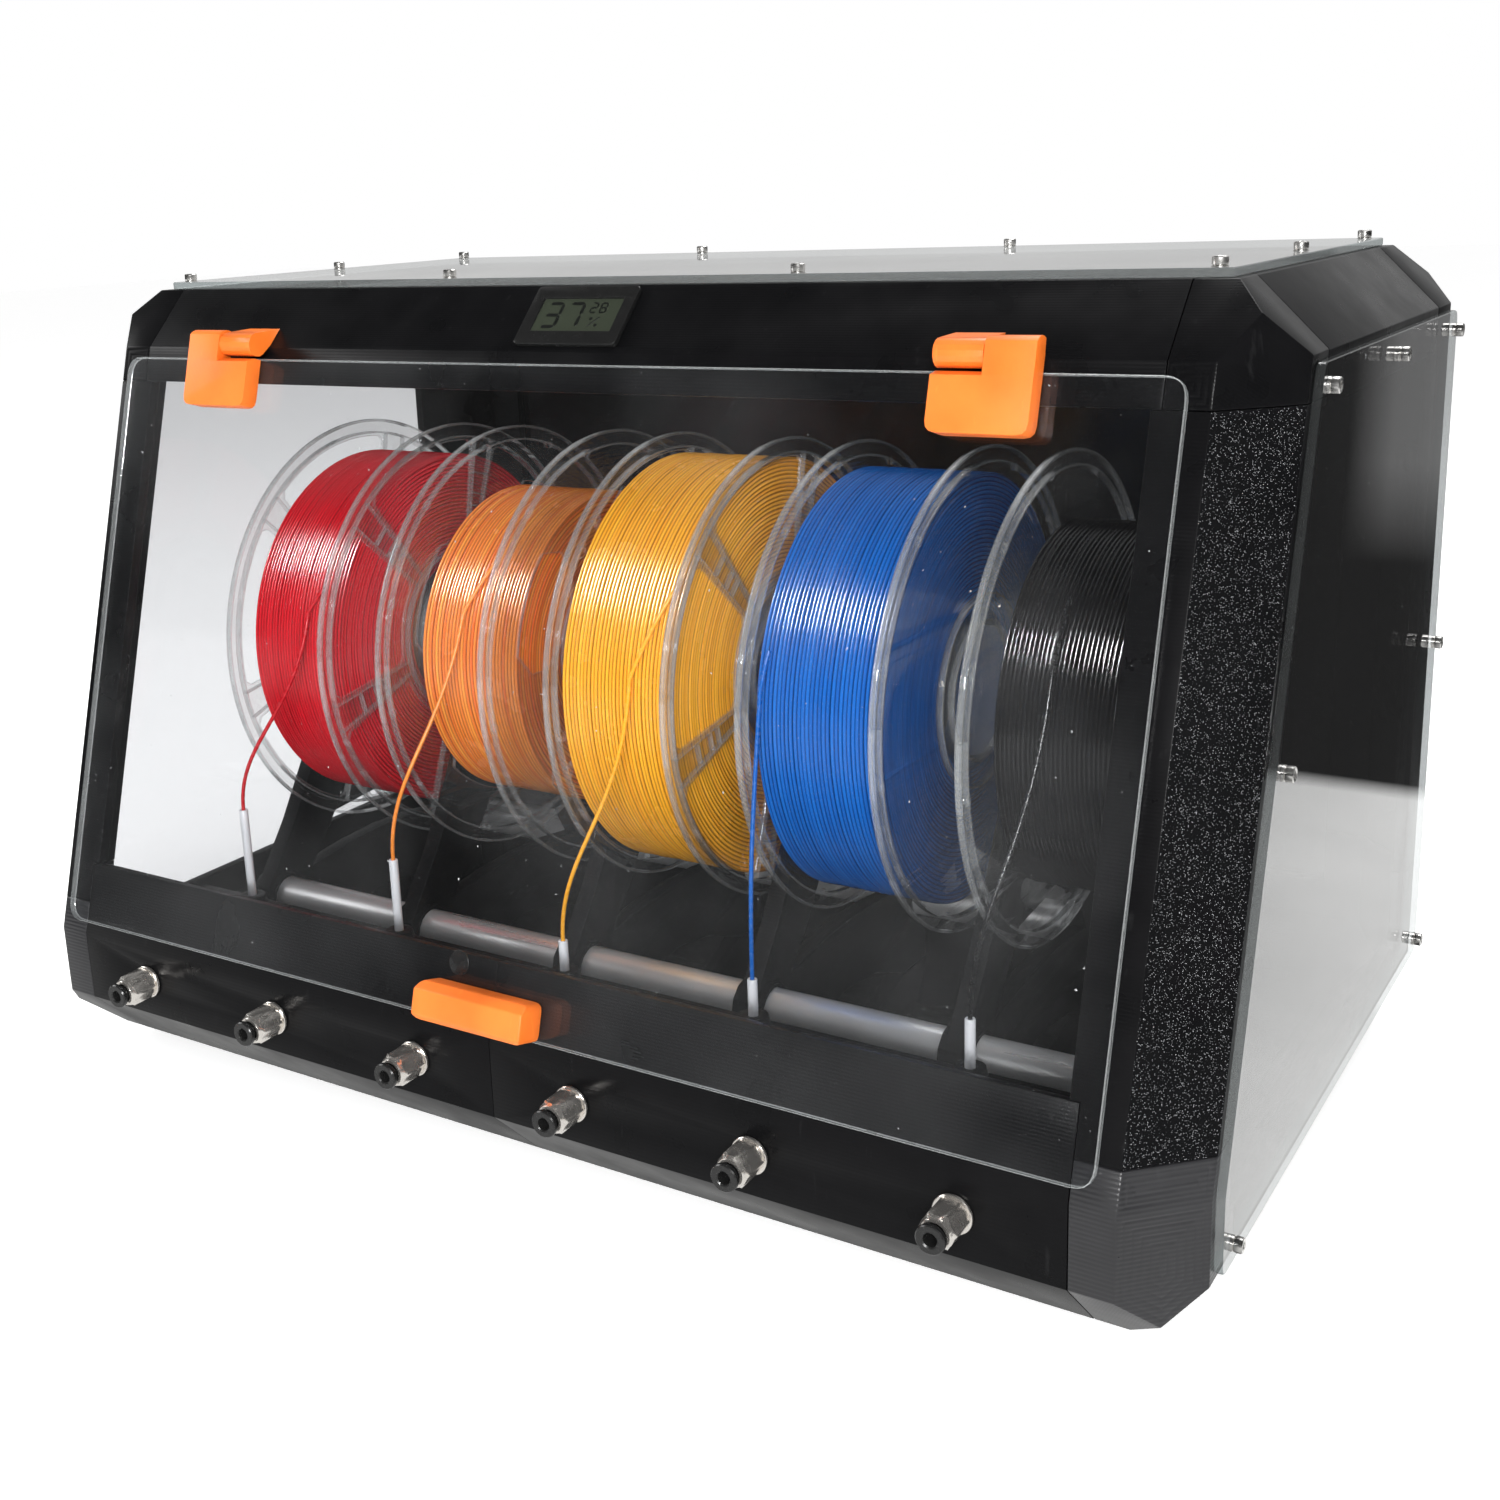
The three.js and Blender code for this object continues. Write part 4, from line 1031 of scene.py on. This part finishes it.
def bounce(name, x0, x1, y0, y1, strength, fade):
    """Paper beside the box, seen only in reflections; it fades out towards its far side."""
    glow = Tree(name)
    far = glow.nt.nodes.new("ShaderNodeSeparateXYZ")
    glow.put(far.inputs[0], glow.spot())
    power = glow.ramp(far.outputs[1], (y1 - fade, y1), (strength, 0.02))
    cloudy = glow.math("MULTIPLY", power, glow.ramp(glow.noise(5, 3), (0.35, 0.65), (0.9, 1.05)))
    shine = glow.done(glow.add("Emission", rgb(1, 1, 0.99), cloudy))
    card = plane(name, x0, x1, y0, y1, 0.002, shine)
    for way in ("camera", "diffuse", "transmission", "volume_scatter", "shadow"):
        setattr(card, f"visible_{way}", False)


BOX_SIDE, FAR = 0.276, 1.0
bounce("stage_bounce_left", -FAR, -BOX_SIDE, -0.12, 0.48, strength=1.2, fade=0.03)
bounce("stage_bounce_right", BOX_SIDE, FAR, -0.12, 0.48, strength=1.2, fade=0.03)
bounce("stage_bounce_front", -FAR, FAR, -1.3, -0.13, strength=0.75, fade=0.01)


def softbox(name, at, aim, width, height, power):
    """A rectangular lamp of some watts, turned towards aim."""
    light = bpy.data.lights.new(name, "AREA")
    light.shape = "RECTANGLE"
    light.size, light.size_y, light.energy = width, height, power
    obj = bpy.data.objects.new(name, light)
    obj.location = at
    obj.rotation_euler = (Vector(aim) - Vector(at)).to_track_quat("-Z", "Y").to_euler()
    bpy.context.scene.collection.objects.link(obj)
    return obj


def link_windings(light, state):
    """INCLUDE: the light falls on the windings alone. EXCLUDE: on everything but them."""
    group = bpy.data.collections.new(light.name + "_linked")
    for obj in bpy.data.objects:
        if obj.name.startswith("look_winding"):
            group.objects.link(obj)
    for item in group.collection_objects:
        item.light_linking.link_state = state
    light.light_linking.receiver_collection = group


# a long box above the front, seen only as the glint that lies across all five windings
glint = softbox("strip", at=(-0.95, -0.88, 1.36), aim=(-0.95, 0, 0.17),
                width=1.5, height=0.46, power=220)
from_left, back = Vector((1.3, -0.45, -0.33)).normalized(), Vector((0, -0.88, 1.19))
back = (back - from_left * back.dot(from_left)).normalized()
glint.rotation_euler = Matrix((from_left, back.cross(from_left), back)).transposed().to_euler()
glint.visible_diffuse = False
link_windings(glint, "INCLUDE")
KEY = dict(at=(0.9, -1.9, 0.85), aim=(0, 0, 0.15), width=1.1, height=0.18, power=50)
link_windings(softbox("key", **KEY), "EXCLUDE")
key_on_windings = softbox("key_on_windings", **KEY)  # without the second, lower glint
key_on_windings.visible_glossy = False
link_windings(key_on_windings, "INCLUDE")
softbox("fill_left", at=(-1.9, -0.6, 1.1), aim=(0, 0, 0.15), width=0.8, height=0.8, power=11)
overhead = softbox("overhead", at=(0.2, 0.8, 1.8), aim=(0, 0, 0.2),
                   width=1.4, height=1.0, power=26)
link_windings(overhead, "EXCLUDE")

world = bpy.data.worlds.new("studio")
bpy.context.scene.world = world
world.use_nodes = True
wt = world.node_tree
wt.nodes.clear()


def world_node(kind, *values, out=0, **named):
    n = wt.nodes.new("ShaderNode" + kind)
    for key, value in named.items():
        setattr(n, key, value)
    for i, value in enumerate(values):
        if isinstance(value, bpy.types.NodeSocket):
            wt.links.new(value, n.inputs[i])
        elif value is not None:
            n.inputs[i].default_value = value
    return n.outputs[out]


def between(value, low, high, top=1.0):
    """Rises from 0 where the value is low to top where it is high."""
    return world_node("MapRange", value, low, high, 0.0, top)


def times(a, b):
    return world_node("Math", a, b, operation="MULTIPLY")


way = wt.nodes.new("ShaderNodeSeparateXYZ")
wt.links.new(world_node("TexCoord"), way.inputs[0])
dx, dy, dz = way.outputs
# what the gloss sees: a dark studio in front, pale paper above and behind, and a grey strip
# behind at the right
DARK, DIFFUSE_SKY = 0.03, 0.55
above = times(between(dz, 0.0, 0.03, 0.55), between(dy, 0.2, 0.6))
grey = times(between(dx, 0.215, 0.195, 0.22), between(dz, -0.2, -0.15))
grey = times(grey, between(dy, 0.5, 0.8))
mirrored = world_node("Math", above, grey, operation="MAXIMUM")
mirrored = world_node("Math", mirrored, DARK, operation="ADD")
rays = wt.nodes.new("ShaderNodeLightPath").outputs
lit = world_node("Mix", rays["Is Glossy Ray"], None, DIFFUSE_SKY, mirrored, data_type="FLOAT")
seen = world_node("Mix", rays["Is Camera Ray"], None, lit, 1.0, data_type="FLOAT")
sky = world_node("Background", rgb(1, 1, 1), seen)
end = wt.nodes.new("ShaderNodeOutputWorld")
wt.links.new(sky, end.inputs[0])
bpy.context.scene.view_settings.view_transform = "Standard"
bpy.context.scene.cycles.transparent_max_bounces = 40  # sight through the door and ten flanges

# ---------------------------------------------------------------- camera
STAND = Vector((0.41213, -0.6519, 0.37562))
PITCH, YAW, ROLL = (math.radians(a) for a in (14.677, 33.747, -2.532))
LENS, SENSOR, SHIFT_X, SHIFT_Y = 43.38, 36, 0.05893, -0.05647
look = Vector((-math.sin(YAW) * math.cos(PITCH), math.cos(YAW) * math.cos(PITCH),
               -math.sin(PITCH)))
right = look.cross(Z).normalized()
up = right.cross(look)
c, s = math.cos(ROLL), math.sin(ROLL)
cam = bpy.data.cameras.new("camera")
cam.sensor_width, cam.lens = SENSOR, LENS
cam.shift_x, cam.shift_y = SHIFT_X, SHIFT_Y
camera = bpy.data.objects.new("camera", cam)
camera.matrix_world = basis(right * c + up * s, up * c - right * s, -look, STAND)
bpy.context.scene.collection.objects.link(camera)
bpy.context.scene.camera = camera
